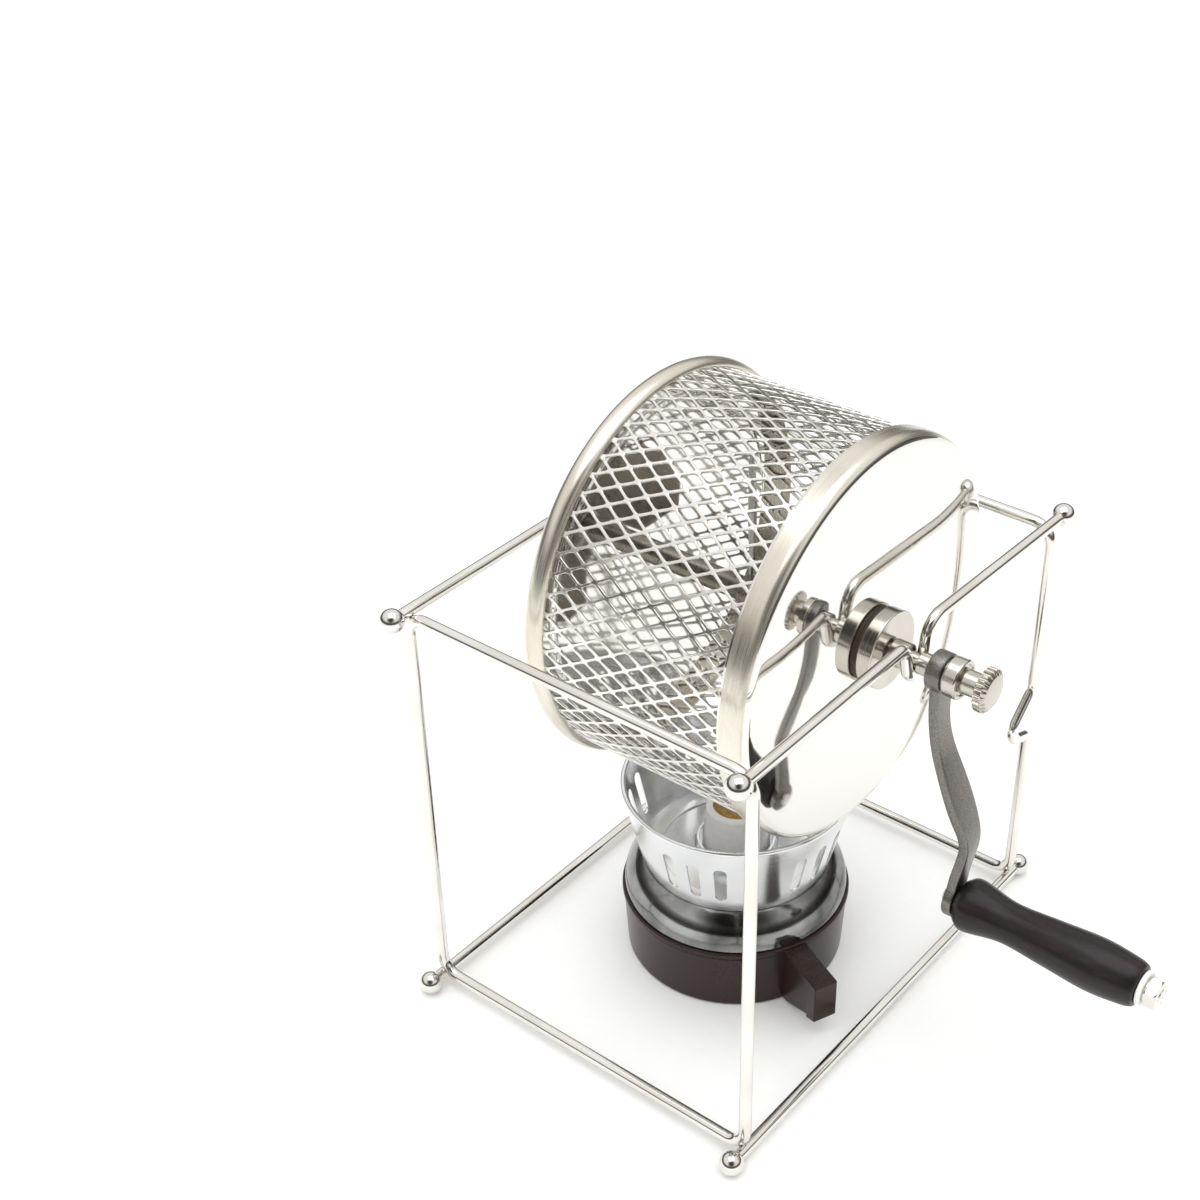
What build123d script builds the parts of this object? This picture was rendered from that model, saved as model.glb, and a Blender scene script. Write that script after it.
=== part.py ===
from build123d import *
import math
import os

# Stovetop coffee bean roaster: a wire stand, a hand cranked mesh drum that
# rests in two notched rods, and a spirit burner standing under the drum.
#
# Millimetres. The table is z = 0 and the burner's centre is x = y = 0.
# +X runs along the drum's axis towards the crank, and -Y faces the user.

os.makedirs("parts", exist_ok=True)

# ---------------------------------------------------------------- stand sizes
wire_r = 2.4                # the stand is bent from 4.8 mm wire
ball_r = 4.8                # balls capping the rods; the lower four are feet
side_x = 77.4               # both side frames stand this far from the middle
loop_y = 98.2               # plane of the front and of the rear loop
rod_end_y = 106.4           # ball centres, at the ends of the rods
loop_low_z = 6.4
loop_high_z = 183.2
loop_corner_r = 8.2
low_rod_z = ball_r
high_rod_z = 184.8

# ----------------------------------------------------------- drum axle and rest
axle_r = 3.1
axle_z = 175.0
rest_clearance = 0.05
rest_r = axle_r + rest_clearance + wire_r   # bend that the axle lies in
leg_front_deg = 76.0        # steepness of the notch's two legs
leg_rear_deg = 80.3
shoulder_z = 188.1          # the rod rises above the axle behind the notch
shoulder_r = 8.0
notch_lip_r = 5.3
kink_y = 80.2               # second pair of rests, bent into the rear loop
kink_z = 88.7
kink_top_z = 105.7
kink_low_z = 82.4
kink_top_r = 9.0
kink_low_r = 4.5

# ----------------------------------------------------------------- drum sizes
drum_r = 76.9
mesh_t = 0.9
drum_back_x = -38.0
drum_front_x = 54.3
mesh_front_x = 52.4
diamonds_around = 63
diamond_columns = 13
diamond_length = 12.4
diamond_last_x = 43.4
diamond_last_deg = 148.8
strand_w = 1.3
rear_rim_r = 79.9
rear_rim_x = -39.5
rear_rim_w = 8.2
plate_t = 0.8
plate_step_r = 66.0
plate_step = 1.6
mouth_bead_r = 0.95
mouth_band_t = 0.5
mouth_band_x = 46.6

axle_back_x = -84.0
axle_tip_x = 52.0
sleeve_r = 4.75
spacer_r = 4.25
collar_r = 6.2
collar_w = 5.0
rear_collar_x = 2.0
front_collar_x = 22.0
paddle_t = 1.0
paddle_w = 30.0
paddle_tip_r = 56.0
paddle_neck_w = 9.0
paddle_pitch_deg = 50.0

# ------------------------------------------------------------------ lid sizes
lid_r = 78.6
lid_t = 0.7
lid_face_x = 60.2
lid_skirt_x = 48.2
lid_edge_r = 8.6           # round between the flat face and the skirt
guide_r = 4.0
guide_bore_r = axle_r + 0.05
guide_end_x = 28.0

# ---------------------------------------------------------------- crank sizes
seal_x = 61.8               # end of the dark washer on the lid
hub_x = 67.6
hub_r = 15.2
shaft_x = 68.4              # the thin neck in front of the hub ends here
shaft_r = 5.2
groove_x = (74.85, 79.9)    # the near rod lies in this groove
journal_r = 4.3
boss_x = (85.3, 91.4)
boss_r = 7.6
spigot_r = 3.9
collar_x = (91.5, 98.0)
collar_rim_x = 92.4         # the collar is narrower where it meets the arm
collar_seat_r = 6.4
clamp_collar_r = 7.7
screw_r = 2.5
screw_bore_r = screw_r + 0.06
screw_neck_r = 4.8
screw_end_x = 82.0
knob_x = (105.4, 108.8)
knob_r = 8.6
knob_crown = 1.4
knob_flutes = 20

crank_z = 75.9              # axis of the grip
arm_t = 4.2
arm_x = 88.8
eye_x = 103.2
eye_r = 7.6
spindle_r = 2.5
rivet_r = 3.25
grip_x = (106.0, 181.0)
nut_x = (184.6, 188.8)
nut_flats = 11.0

# --------------------------------------------------------------- burner sizes
base_low_r = 45.5
base_high_r = 47.6
base_h = 30.1
base_wall = 2.6
tank_top_z = 46.5
tank_top_r = 38.4
screen_low_r = 39.2
screen_high_r = 47.6
screen_low_z = 46.6
screen_high_z = 83.6
screen_t = 0.8
slot_w = 5.0
slot_len = 20.0
slot_z = 62.9
slot_pitch_deg = 14.5
slot_group_deg = -76.5
holder_top_z = 70.1
holder_r = 12.7
holder_low_r = 14.2
wick_r = 9.7
handle_deg = -23.0
handle_w = 10.5
handle_end_r = 71.0
handle_top_z = 29.4


def save(piece, name):
    piece.label = name
    export_step(piece, f"parts/{name}.step")


# ============================================================ the wire stand
# Each loop is bent from one wire and closed by a butt weld at the bottom.
with BuildPart() as front_loop:
    with BuildLine() as half_path:
        FilletPolyline(
            (0, -loop_y, loop_low_z),
            (side_x, -loop_y, loop_low_z),
            (side_x, -loop_y, loop_high_z),
            (0, -loop_y, loop_high_z),
            radius=loop_corner_r,
        )
    with BuildSketch(Plane((0, -loop_y, loop_low_z), z_dir=(1, 0, 0))):
        Circle(wire_r)
    sweep(path=half_path.line)
    mirror(about=Plane.YZ)
save(front_loop.part, "front_loop")

# The rear loop's uprights are kinked: with the stand laid on its front loop
# the axle rests in the kinks.
with BuildPart() as rear_loop:
    with BuildLine() as half_path:
        FilletPolyline(
            (0, loop_y, loop_low_z),
            (side_x, loop_y, loop_low_z),
            (side_x, loop_y, kink_low_z),
            (side_x, kink_y, kink_z),
            (side_x, loop_y, kink_top_z),
            (side_x, loop_y, loop_high_z),
            (0, loop_y, loop_high_z),
            radius=(loop_corner_r, kink_low_r, rest_r, kink_top_r, loop_corner_r),
        )
    with BuildSketch(Plane((0, loop_y, loop_low_z), z_dir=(1, 0, 0))):
        Circle(wire_r)
    sweep(path=half_path.line)
    mirror(about=Plane.YZ)
save(rear_loop.part, "rear_loop")

# The notch's bend is centred on the axle. The corner that it rounds lies on
# the bisector of the two legs, far below.
notch_turn = math.radians(leg_front_deg + leg_rear_deg)
notch_lean = math.radians((leg_rear_deg - leg_front_deg) / 2)
corner_reach = rest_r / math.cos(notch_turn / 2)
corner_y = corner_reach * math.sin(notch_lean)
corner_z = axle_z - corner_reach * math.cos(notch_lean)
lip_y = corner_y - (high_rod_z - corner_z) / math.tan(math.radians(leg_front_deg))
shoulder_y = corner_y + (shoulder_z - corner_z) / math.tan(math.radians(leg_rear_deg))

sides = {"crank_side": side_x, "far_side": -side_x}

for side_name, x in sides.items():
    with BuildPart() as top_rod:
        with BuildLine() as rod_path:
            FilletPolyline(
                (x, -rod_end_y, high_rod_z),
                (x, lip_y, high_rod_z),
                (x, corner_y, corner_z),
                (x, shoulder_y, shoulder_z),
                (x, rod_end_y, high_rod_z),
                radius=(notch_lip_r, rest_r, shoulder_r),
            )
        with BuildSketch(Plane((x, -rod_end_y, high_rod_z), z_dir=(0, 1, 0))):
            Circle(wire_r)
        sweep(path=rod_path.line)
    save(top_rod.part, f"{side_name}_top_rod")

    with BuildPart() as bottom_rod:
        with BuildSketch(Plane((x, -rod_end_y, low_rod_z), z_dir=(0, 1, 0))):
            Circle(wire_r)
        extrude(amount=2 * rod_end_y)
    save(bottom_rod.part, f"{side_name}_bottom_rod")

    # A ball on each rod end, bored to its centre along the wire. The rear end
    # of a top rod slopes down from the shoulder.
    slope = (0, shoulder_y - rod_end_y, shoulder_z - high_rod_z)
    rod_ends = {
        "front_foot": (-rod_end_y, low_rod_z, (0, 1, 0)),
        "rear_foot": (rod_end_y, low_rod_z, (0, -1, 0)),
        "front_top": (-rod_end_y, high_rod_z, (0, 1, 0)),
        "rear_top": (rod_end_y, high_rod_z, slope),
    }
    for end_name, (y, z, bore_direction) in rod_ends.items():
        with BuildPart() as ball:
            with Locations((x, y, z)):
                Sphere(ball_r)
            with BuildSketch(Plane((x, y, z), z_dir=bore_direction)):
                Circle(wire_r)
            extrude(amount=2 * ball_r, mode=Mode.SUBTRACT)
        save(ball.part, f"{side_name}_{end_name}_ball")


# ================================================================== the drum
axle_line = Axis((0, 0, axle_z), (1, 0, 0))
axle_plane = Plane((0, 0, axle_z), x_dir=(1, 0, 0), z_dir=(0, -1, 0))


def across(x):
    """Plane square to the drum's axis at x, looking towards the crank."""
    return Plane((x, 0, axle_z), x_dir=(0, 1, 0), z_dir=(1, 0, 0))


# Expanded sheet: columns of diamond openings, every second column half a step round.
# Each opening is a whole diamond less half a strand on each of its sides.
diamond_pitch_deg = 360 / diamonds_around
diamond_around_w = math.tau * drum_r / diamonds_around
strand_lean = math.atan2(diamond_around_w, diamond_length)
opening_half_x = (diamond_length - strand_w / math.sin(strand_lean)) / 2
opening_half_w = (diamond_around_w - strand_w / math.cos(strand_lean)) / 2
cut_from_r = drum_r - mesh_t - 2

opening_planes = []
for column in range(diamond_columns):
    column_x = diamond_last_x - column * diamond_length / 2
    column_deg = diamond_last_deg + column % 2 * diamond_pitch_deg / 2
    for diamond in range(diamonds_around):
        turn = math.radians(column_deg + diamond * diamond_pitch_deg)
        outward = Vector(0, math.cos(turn), math.sin(turn))
        start = Vector(column_x, 0, axle_z) + outward * cut_from_r
        opening_planes.append(Plane(start, x_dir=(1, 0, 0), z_dir=outward))

with BuildPart() as mesh_barrel:
    with BuildSketch(across(drum_back_x)):
        Circle(drum_r)
        Circle(drum_r - mesh_t, mode=Mode.SUBTRACT)
    extrude(amount=mesh_front_x - drum_back_x)
    with BuildSketch(*opening_planes):
        Polygon(
            (opening_half_x, 0),
            (0, opening_half_w),
            (-opening_half_x, 0),
            (0, -opening_half_w),
            align=None,
        )
    extrude(amount=mesh_t + 4, mode=Mode.SUBTRACT)
save(mesh_barrel.part, "mesh_barrel")

# Half round band that holds the mesh and the rear plate together.
with BuildPart() as rear_rim:
    rim_mid_x = rear_rim_x + rear_rim_w / 2
    with BuildSketch(axle_plane):
        with BuildLine():
            Line((rear_rim_x, drum_r), (rear_rim_x + rear_rim_w, drum_r))
            ThreePointArc(
                (rear_rim_x + rear_rim_w, drum_r),
                (rim_mid_x, rear_rim_r),
                (rear_rim_x, drum_r),
            )
        make_face()
    revolve(axis=axle_line)
save(rear_rim.part, "rear_rim")

with BuildPart() as rear_end_plate:
    plate_x = drum_back_x - plate_t
    with BuildSketch(axle_plane):
        with BuildLine():
            Polyline(
                (plate_x, drum_r),
                (drum_back_x, drum_r),
                (drum_back_x, plate_step_r),
                (drum_back_x + plate_step, plate_step_r - plate_step),
                (drum_back_x + plate_step, axle_r),
                (plate_x + plate_step, axle_r),
                (plate_x + plate_step, plate_step_r - plate_step),
                (plate_x, plate_step_r),
                close=True,
            )
        make_face()
    revolve(axis=axle_line)
save(rear_end_plate.part, "rear_end_plate")

# Bright band round the drum's mouth, ending in a rolled bead.
with BuildPart() as mouth_ring:
    with BuildSketch(axle_plane):
        band_w = mesh_front_x - mouth_band_x + mouth_bead_r
        with Locations((mouth_band_x + band_w / 2, drum_r + mouth_band_t / 2)):
            Rectangle(band_w, mouth_band_t)
        with Locations((drum_front_x - mouth_bead_r, drum_r + mouth_band_t - mouth_bead_r)):
            Circle(mouth_bead_r)
    revolve(axis=axle_line)
save(mouth_ring.part, "mouth_ring")

with BuildPart() as drum_axle:
    with BuildSketch(across(axle_back_x)):
        Circle(axle_r)
    extrude(amount=axle_tip_x - axle_back_x)
    chamfer(drum_axle.edges().filter_by(GeomType.CIRCLE), length=0.5)
save(drum_axle.part, "drum_axle")

# Tubes and collars threaded on the axle, in their order from the rear plate.
on_axle = {
    "rear_axle_sleeve": (drum_back_x + plate_step, rear_collar_x, sleeve_r),
    "rear_paddle_collar": (rear_collar_x, rear_collar_x + collar_w, collar_r),
    "axle_spacer": (rear_collar_x + collar_w, front_collar_x, spacer_r),
    "front_paddle_collar": (front_collar_x, front_collar_x + collar_w, collar_r),
}
for name, (start, end, outer_r) in on_axle.items():
    with BuildPart() as tube:
        with BuildSketch(across(start)):
            Circle(outer_r)
            Circle(axle_r, mode=Mode.SUBTRACT)
        extrude(amount=end - start)
        outer_edges = tube.edges().filter_by(GeomType.CIRCLE).sort_by(SortBy.RADIUS)[-2:]
        chamfer(outer_edges, length=0.4)
    save(tube.part, name)

# Stirring paddles: flat blades on narrow necks, a quarter turn apart. The two
# on the rear collar are pitched one way and the two on the front collar the
# other way, so that the beans are thrown back and forth.
paddles = {
    "rear_paddle_up": (rear_collar_x, 90, 1),
    "rear_paddle_right": (rear_collar_x, 0, 1),
    "front_paddle_left": (front_collar_x, 180, -1),
    "front_paddle_down": (front_collar_x, 270, -1),
}
neck_from = collar_r - 0.4
neck_to = 13.0
blade_from = 24.0
corner_cut = 8.0
for name, (collar_start, turn_deg, hand) in paddles.items():
    turn = math.radians(turn_deg)
    pitch = math.radians(paddle_pitch_deg) * hand
    outward = Vector(0, math.cos(turn), math.sin(turn))
    sideways = Vector(0, -math.sin(turn), math.cos(turn))
    across_blade = Vector(1, 0, 0) * math.cos(pitch) + sideways * math.sin(pitch)
    blade_normal = outward.cross(across_blade)
    root = Vector(collar_start + collar_w / 2, 0, axle_z)
    blade_plane = Plane(root, x_dir=outward, z_dir=blade_normal)
    with BuildPart() as paddle:
        with BuildSketch(blade_plane):
            with BuildLine():
                half = Polyline(
                    (neck_from, 0),
                    (neck_from, paddle_neck_w / 2),
                    (neck_to, paddle_neck_w / 2),
                    (blade_from, paddle_w / 2),
                    (paddle_tip_r - corner_cut, paddle_w / 2),
                    (paddle_tip_r, paddle_w / 2 - corner_cut),
                    (paddle_tip_r, 0),
                )
                mirror(half, about=Plane.XZ)
            make_face()
        extrude(amount=paddle_t / 2, both=True)
    save(paddle.part, name)


# =================================================== the lid and what turns it
edge_centre_x = lid_face_x - lid_edge_r
edge_centre_r = lid_r - lid_edge_r


def lid_edge(radius):
    """Start, middle and end of the lid's rounded edge at one of its two skins."""
    slant = radius * math.cos(math.radians(45))
    return (
        (edge_centre_x, edge_centre_r + radius),
        (edge_centre_x + slant, edge_centre_r + slant),
        (edge_centre_x + radius, edge_centre_r),
    )


with BuildPart() as lid:
    with BuildSketch(axle_plane):
        with BuildLine():
            outer_edge = ThreePointArc(*lid_edge(lid_edge_r))
            inner_edge = ThreePointArc(*lid_edge(lid_edge_r - lid_t))
            Polyline(
                outer_edge @ 1,
                (lid_face_x, axle_r),
                (lid_face_x - lid_t, axle_r),
                inner_edge @ 1,
            )
            Polyline(
                outer_edge @ 0,
                (lid_skirt_x, lid_r),
                (lid_skirt_x, lid_r - lid_t),
                inner_edge @ 0,
            )
        make_face()
    revolve(axis=axle_line)
save(lid.part, "lid")

with BuildPart() as lid_guide_tube:
    with BuildSketch(across(guide_end_x)):
        Circle(guide_r)
        Circle(guide_bore_r, mode=Mode.SUBTRACT)
    extrude(amount=lid_face_x - lid_t - guide_end_x)
save(lid_guide_tube.part, "lid_guide_tube")

with BuildPart() as lid_washer:
    with BuildSketch(across(lid_face_x)):
        Circle(hub_r - 1.0)
        Circle(axle_r, mode=Mode.SUBTRACT)
    extrude(amount=seal_x - lid_face_x)
save(lid_washer.part, "lid_washer")

with BuildPart() as hub_disc:
    with BuildSketch(across(seal_x)):
        Circle(hub_r)
        Circle(axle_r, mode=Mode.SUBTRACT)
    extrude(amount=hub_x - seal_x)
    hub_edges = hub_disc.edges().filter_by(GeomType.CIRCLE).sort_by(SortBy.RADIUS)[-2:]
    chamfer(hub_edges, length=0.6)
save(hub_disc.part, "hub_disc")

# Stepped shaft: riveted through hub and lid at one end, tapped for the
# thumbscrew at the other, with a groove that rests in the near notch.
shaft_steps = (
    (lid_face_x - lid_t, hub_x, axle_r),
    (hub_x, shaft_x, axle_r),
    (shaft_x, groove_x[0], shaft_r),
    (groove_x[0], groove_x[1], axle_r),
    (groove_x[1], boss_x[0], journal_r),
    (boss_x[0], boss_x[1], spigot_r),
)
with BuildPart() as crank_shaft:
    for start, end, radius in shaft_steps:
        with BuildSketch(across(start)):
            Circle(radius)
        extrude(amount=end - start)
    with BuildSketch(across(boss_x[1])):
        Circle(screw_bore_r)
    extrude(amount=screw_end_x - 1.0 - boss_x[1], mode=Mode.SUBTRACT)
save(crank_shaft.part, "crank_shaft")

# Cast crank arm: its outline seen along the axis, cut by the S-bent band that
# is seen from the side, plus the boss.
arm_width = (
    (axle_z, 5.4),
    (axle_z - 21, 4.7),
    (axle_z - 53, 6.8),
    (axle_z - 78, 4.2),
    (crank_z + 6.0, 4.7),
)
arm_bends = (
    (arm_x, axle_z + boss_r),
    (arm_x, 149.0),
    (107.4, 106.5),
    (eye_x, 84.0),
    (eye_x, crank_z - eye_r - 1),
)
with BuildPart() as crank_arm:
    with BuildSketch(Plane.YZ):
        with BuildLine():
            side = Spline(*[(half, z) for z, half in arm_width])
            other_side = Spline(*[(-half, z) for z, half in arm_width])
            Line(side @ 0, other_side @ 0)
            Line(side @ 1, other_side @ 1)
        make_face()
        with Locations((0, axle_z)):
            Circle(boss_r)
        with Locations((0, crank_z)):
            Circle(eye_r)
    extrude(amount=eye_x + 2 * arm_t)
    with BuildSketch(Plane.XZ.offset(-2 * boss_r)):
        with BuildLine() as band_line:
            FilletPolyline(*arm_bends, radius=(60.0, 20.0, 60.0))
        trace(band_line.line, line_width=arm_t)
    extrude(amount=4 * boss_r, mode=Mode.INTERSECT)
    with BuildSketch(across(boss_x[0])):
        Circle(boss_r)
    extrude(amount=boss_x[1] - boss_x[0])
    with BuildSketch(across(0)):
        Circle(spigot_r)
    extrude(amount=2 * boss_x[1], mode=Mode.SUBTRACT)
    with BuildSketch(Plane((0, 0, crank_z), x_dir=(0, 1, 0), z_dir=(1, 0, 0))):
        Circle(spindle_r)
    extrude(amount=2 * eye_x, mode=Mode.SUBTRACT)
save(crank_arm.part, "crank_arm")

with BuildPart() as clamp_collar:
    with BuildSketch(across(collar_x[0])):
        Circle(collar_seat_r)
    extrude(amount=collar_rim_x - collar_x[0])
    with BuildSketch(across(collar_rim_x)):
        Circle(clamp_collar_r)
    extrude(amount=collar_x[1] - collar_rim_x)
    with BuildSketch(across(collar_x[0])):
        Circle(screw_bore_r)
    extrude(amount=collar_x[1] - collar_x[0], mode=Mode.SUBTRACT)
    collar_edges = clamp_collar.edges().filter_by(GeomType.CIRCLE).sort_by(SortBy.RADIUS)
    chamfer(collar_edges[-2:], length=0.7)
save(clamp_collar.part, "clamp_collar")

# Knurled thumbscrew: threaded shank, shoulder, fluted head with a low crown.
with BuildPart() as thumbscrew:
    shoulder_x = collar_x[1] + 0.1
    with BuildSketch(across(screw_end_x)):
        Circle(screw_r)
    extrude(amount=shoulder_x - screw_end_x)
    with BuildSketch(across(shoulder_x)):
        Circle(screw_neck_r)
    extrude(amount=knob_x[0] - shoulder_x)
    with BuildSketch(across(knob_x[0])):
        Circle(knob_r)
        with PolarLocations(knob_r + 0.25, knob_flutes):
            Circle(0.75, mode=Mode.SUBTRACT)
    extrude(amount=knob_x[1] - knob_x[0])
    with BuildSketch(across(knob_x[1])):
        Circle(knob_r - 0.7)
    extrude(amount=knob_crown, taper=40)
save(thumbscrew.part, "thumbscrew")

# ------------------------------------------------------------------- the grip
grip_axis = Axis((0, 0, crank_z), (1, 0, 0))
grip_plane = Plane((0, 0, crank_z), x_dir=(1, 0, 0), z_dir=(0, -1, 0))


def across_grip(x):
    """Plane square to the grip's axis at x."""
    return Plane((x, 0, crank_z), x_dir=(0, 1, 0), z_dir=(1, 0, 0))


rivet_x = eye_x - arm_t / 2
with BuildPart() as grip_spindle:
    with BuildSketch(across_grip(rivet_x - 2.0)):
        Circle(rivet_r)
    extrude(amount=2.0)
    with BuildSketch(across_grip(rivet_x)):
        Circle(spindle_r)
    extrude(amount=nut_x[1] + 0.4 - rivet_x)
    head_edge = grip_spindle.edges().filter_by(GeomType.CIRCLE).sort_by(Axis.X)[0]
    chamfer(head_edge, length=0.6)
save(grip_spindle.part, "grip_spindle")

grip_bore_r = spindle_r + 0.06
grip_start, grip_end = grip_x
grip_outline = (
    (grip_start, 8.9),
    (grip_start + 5.5, 10.7),
    (grip_start + 20.5, 8.2),
    (grip_start + 38.0, 9.2),
    (grip_start + 56.0, 10.4),
    (grip_end, 8.4),
)
with BuildPart() as grip:
    with BuildSketch(grip_plane):
        with BuildLine():
            swell = Spline(*grip_outline)
            Polyline(
                swell @ 1,
                (grip_end, grip_bore_r),
                (grip_start, grip_bore_r),
                swell @ 0,
            )
        make_face()
    revolve(axis=grip_axis)
    rim_edges = grip.edges().filter_by(GeomType.CIRCLE).sort_by(SortBy.RADIUS)[-2:]
    fillet(rim_edges, radius=1.8)
save(grip.part, "grip")

with BuildPart() as nylon_washer:
    with BuildSketch(across_grip(grip_x[1] + 0.3)):
        Circle(6.8)
        Circle(spindle_r, mode=Mode.SUBTRACT)
    extrude(amount=2.0)
save(nylon_washer.part, "nylon_washer")

with BuildPart() as end_nut:
    with BuildSketch(across_grip(grip_x[1] + 2.3)):
        Circle(5.0)
    extrude(amount=nut_x[0] - grip_x[1] - 2.3)
    with BuildSketch(across_grip(nut_x[0])):
        RegularPolygon(nut_flats / 2, 6, major_radius=False)
    extrude(amount=nut_x[1] - nut_x[0])
    with BuildSketch(grip_plane):
        with BuildLine():
            Polyline(
                (grip_x[1], 0),
                (grip_x[1], nut_flats / 2 + 1.6),
                (nut_x[1] - 0.4, nut_flats / 2 + 0.75),
                (nut_x[1], nut_flats / 2),
                (nut_x[1], 0),
                close=True,
            )
        make_face()
    revolve(axis=grip_axis, mode=Mode.INTERSECT)
    with BuildSketch(across_grip(grip_x[1])):
        Circle(spindle_r)
    extrude(amount=2 * (nut_x[1] - grip_x[1]), mode=Mode.SUBTRACT)
save(end_nut.part, "end_nut")


# ================================================================ the burner
def turned(outline):
    """Closed outline of (radius, height) corners, turned about the Z axis."""
    with BuildPart() as piece:
        with BuildSketch(Plane.XZ):
            with BuildLine():
                Polyline(*outline, close=True)
            make_face()
        revolve(axis=Axis.Z)
    return piece.part


# Moulded base: an open cup with a hollow handle tab on one side.
handle_plane = Plane((0, 0, 0), x_dir=(1, 0, 0), z_dir=(0, 0, 1)).rotated((0, 0, handle_deg))
handle_side = Plane(handle_plane.origin, x_dir=handle_plane.x_dir, z_dir=-handle_plane.y_dir)
floor_t = 2.6
lip_h = 2.4
with BuildPart() as burner_base:
    with BuildSketch(handle_side):
        with BuildLine():
            Polyline(
                (base_low_r - 3.0, 2.0),
                (base_low_r + 4.0, 2.0),
                (handle_end_r - 6.0, 9.0),
                (handle_end_r - 6.0, 7.6),
                (handle_end_r, 9.6),
                (handle_end_r, handle_top_z - 1.6),
                (base_high_r - 5.0, handle_top_z),
                close=True,
            )
        make_face()
    extrude(amount=handle_w / 2, both=True)
    with BuildSketch(Plane.XZ):
        with BuildLine():
            Polyline(
                (0, 0),
                (base_low_r - 1.0, 0),
                (base_low_r, 1.0),
                (base_high_r - 0.5, base_h - lip_h - 0.6),
                (base_high_r, base_h - lip_h),
                (base_high_r, base_h - 0.8),
                (base_high_r - 0.8, base_h),
                (0, base_h),
                close=True,
            )
        make_face()
    revolve(axis=Axis.Z)
    with BuildSketch(Plane.XZ):
        with BuildLine():
            Polyline(
                (0, floor_t),
                (base_low_r - base_wall, floor_t),
                (base_high_r - base_wall, base_h + 1),
                (0, base_h + 1),
                close=True,
            )
        make_face()
    revolve(axis=Axis.Z, mode=Mode.SUBTRACT)
save(burner_base.part, "burner_base")

# Spirit tank: a closed tin whose shoulder lies on the base's rim, with a neck
# for the wick holder.
tank_r = base_low_r - base_wall - 1.0
tank_t = 0.9
neck_r = 15.2
lip_r = base_high_r - 1.1
tank_floor_z = floor_t + 0.4
with BuildPart() as spirit_tank:
    with BuildSketch(Plane.XZ):
        with BuildLine():
            Polyline(
                (0, tank_floor_z),
                (tank_r, tank_floor_z),
                (tank_r, base_h),
                (lip_r, base_h),
                (lip_r, base_h + 0.9),
            )
            ThreePointArc((lip_r, base_h + 0.9), (44.3, 40.2), (tank_top_r, tank_top_z))
            Polyline(
                (tank_top_r, tank_top_z),
                (neck_r, tank_top_z),
                (0, tank_top_z),
                (0, tank_floor_z),
            )
        make_face()
    revolve(axis=Axis.Z)
    with BuildSketch(Plane.XZ):
        with BuildLine():
            Polyline(
                (0, tank_floor_z + tank_t),
                (tank_r - tank_t, tank_floor_z + tank_t),
                (tank_r - tank_t, base_h + 2),
            )
            ThreePointArc(
                (tank_r - tank_t, base_h + 2),
                (41.4, 40.6),
                (tank_top_r - 1.4, tank_top_z - tank_t),
            )
            Polyline(
                (tank_top_r - 1.4, tank_top_z - tank_t),
                (0, tank_top_z - tank_t),
                (0, tank_floor_z + tank_t),
            )
        make_face()
    revolve(axis=Axis.Z, mode=Mode.SUBTRACT)
    with BuildSketch(Plane.XY.offset(tank_top_z - 2 * tank_t)):
        Circle(neck_r)
    extrude(amount=4 * tank_t, mode=Mode.SUBTRACT)
save(spirit_tank.part, "spirit_tank")

# Wind screen: a thin cone with a rolled rim, a narrow foot flange and five
# groups of three slots.
screen_flange_r = 31.0
rim_r = 1.1
with BuildPart() as wind_screen:
    with BuildSketch(Plane.XZ):
        with BuildLine():
            Polyline(
                (screen_flange_r, screen_low_z),
                (screen_low_r, screen_low_z),
                (screen_high_r, screen_high_z - rim_r),
                (screen_high_r - screen_t, screen_high_z - rim_r),
                (screen_low_r - screen_t, screen_low_z + screen_t),
                (screen_flange_r, screen_low_z + screen_t),
                close=True,
            )
        make_face()
        with Locations((screen_high_r - rim_r, screen_high_z - rim_r)):
            Circle(rim_r)
    revolve(axis=Axis.Z)
    for group in range(5):
        for step in (-1, 0, 1):
            angle = slot_group_deg + 72 * group + step * slot_pitch_deg
            facing = Vector(1, 0, 0).rotate(Axis.Z, angle)
            slot_plane = Plane((0, 0, slot_z), x_dir=(0, 0, 1), z_dir=facing)
            with BuildSketch(slot_plane):
                SlotOverall(slot_len, slot_w)
            extrude(amount=2 * screen_high_r, mode=Mode.SUBTRACT)
save(wind_screen.part, "wind_screen")

# Metal collar standing on the tank's neck, round the foot of the wick holder.
# A ledge inside it carries the holder.
ledge_r = 13.6
ledge_z = 47.7
collar_out = turned(
    (
        (ledge_r, tank_top_z),
        (18.4, tank_top_z),
        (18.4, tank_top_z + 1.2),
        (17.2, tank_top_z + 2.2),
        (16.5, 53.0),
        (neck_r + 0.1, 53.0),
        (neck_r + 0.1, ledge_z),
        (ledge_r, ledge_z),
    )
)
save(collar_out, "wick_collar")

# Glazed wick holder: a tapered tube with a narrower spigot down in the tank.
spigot_low_z = 30.0
holder_seat_z = 48.0
wick_holder = turned(
    (
        (wick_r, spigot_low_z),
        (13.2, spigot_low_z),
        (13.2, holder_seat_z),
        (holder_low_r, holder_seat_z),
        (holder_r, holder_top_z - 1.0),
        (holder_r - 1.0, holder_top_z),
        (wick_r + 0.8, holder_top_z),
        (wick_r, holder_top_z - 0.8),
    )
)
save(wick_holder, "wick_holder")

with BuildPart() as wick:
    with BuildSketch(Plane.XY.offset(14.0)):
        Circle(wick_r)
    extrude(amount=holder_top_z - 1.6 - 14.0)
save(wick.part, "wick")
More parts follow.
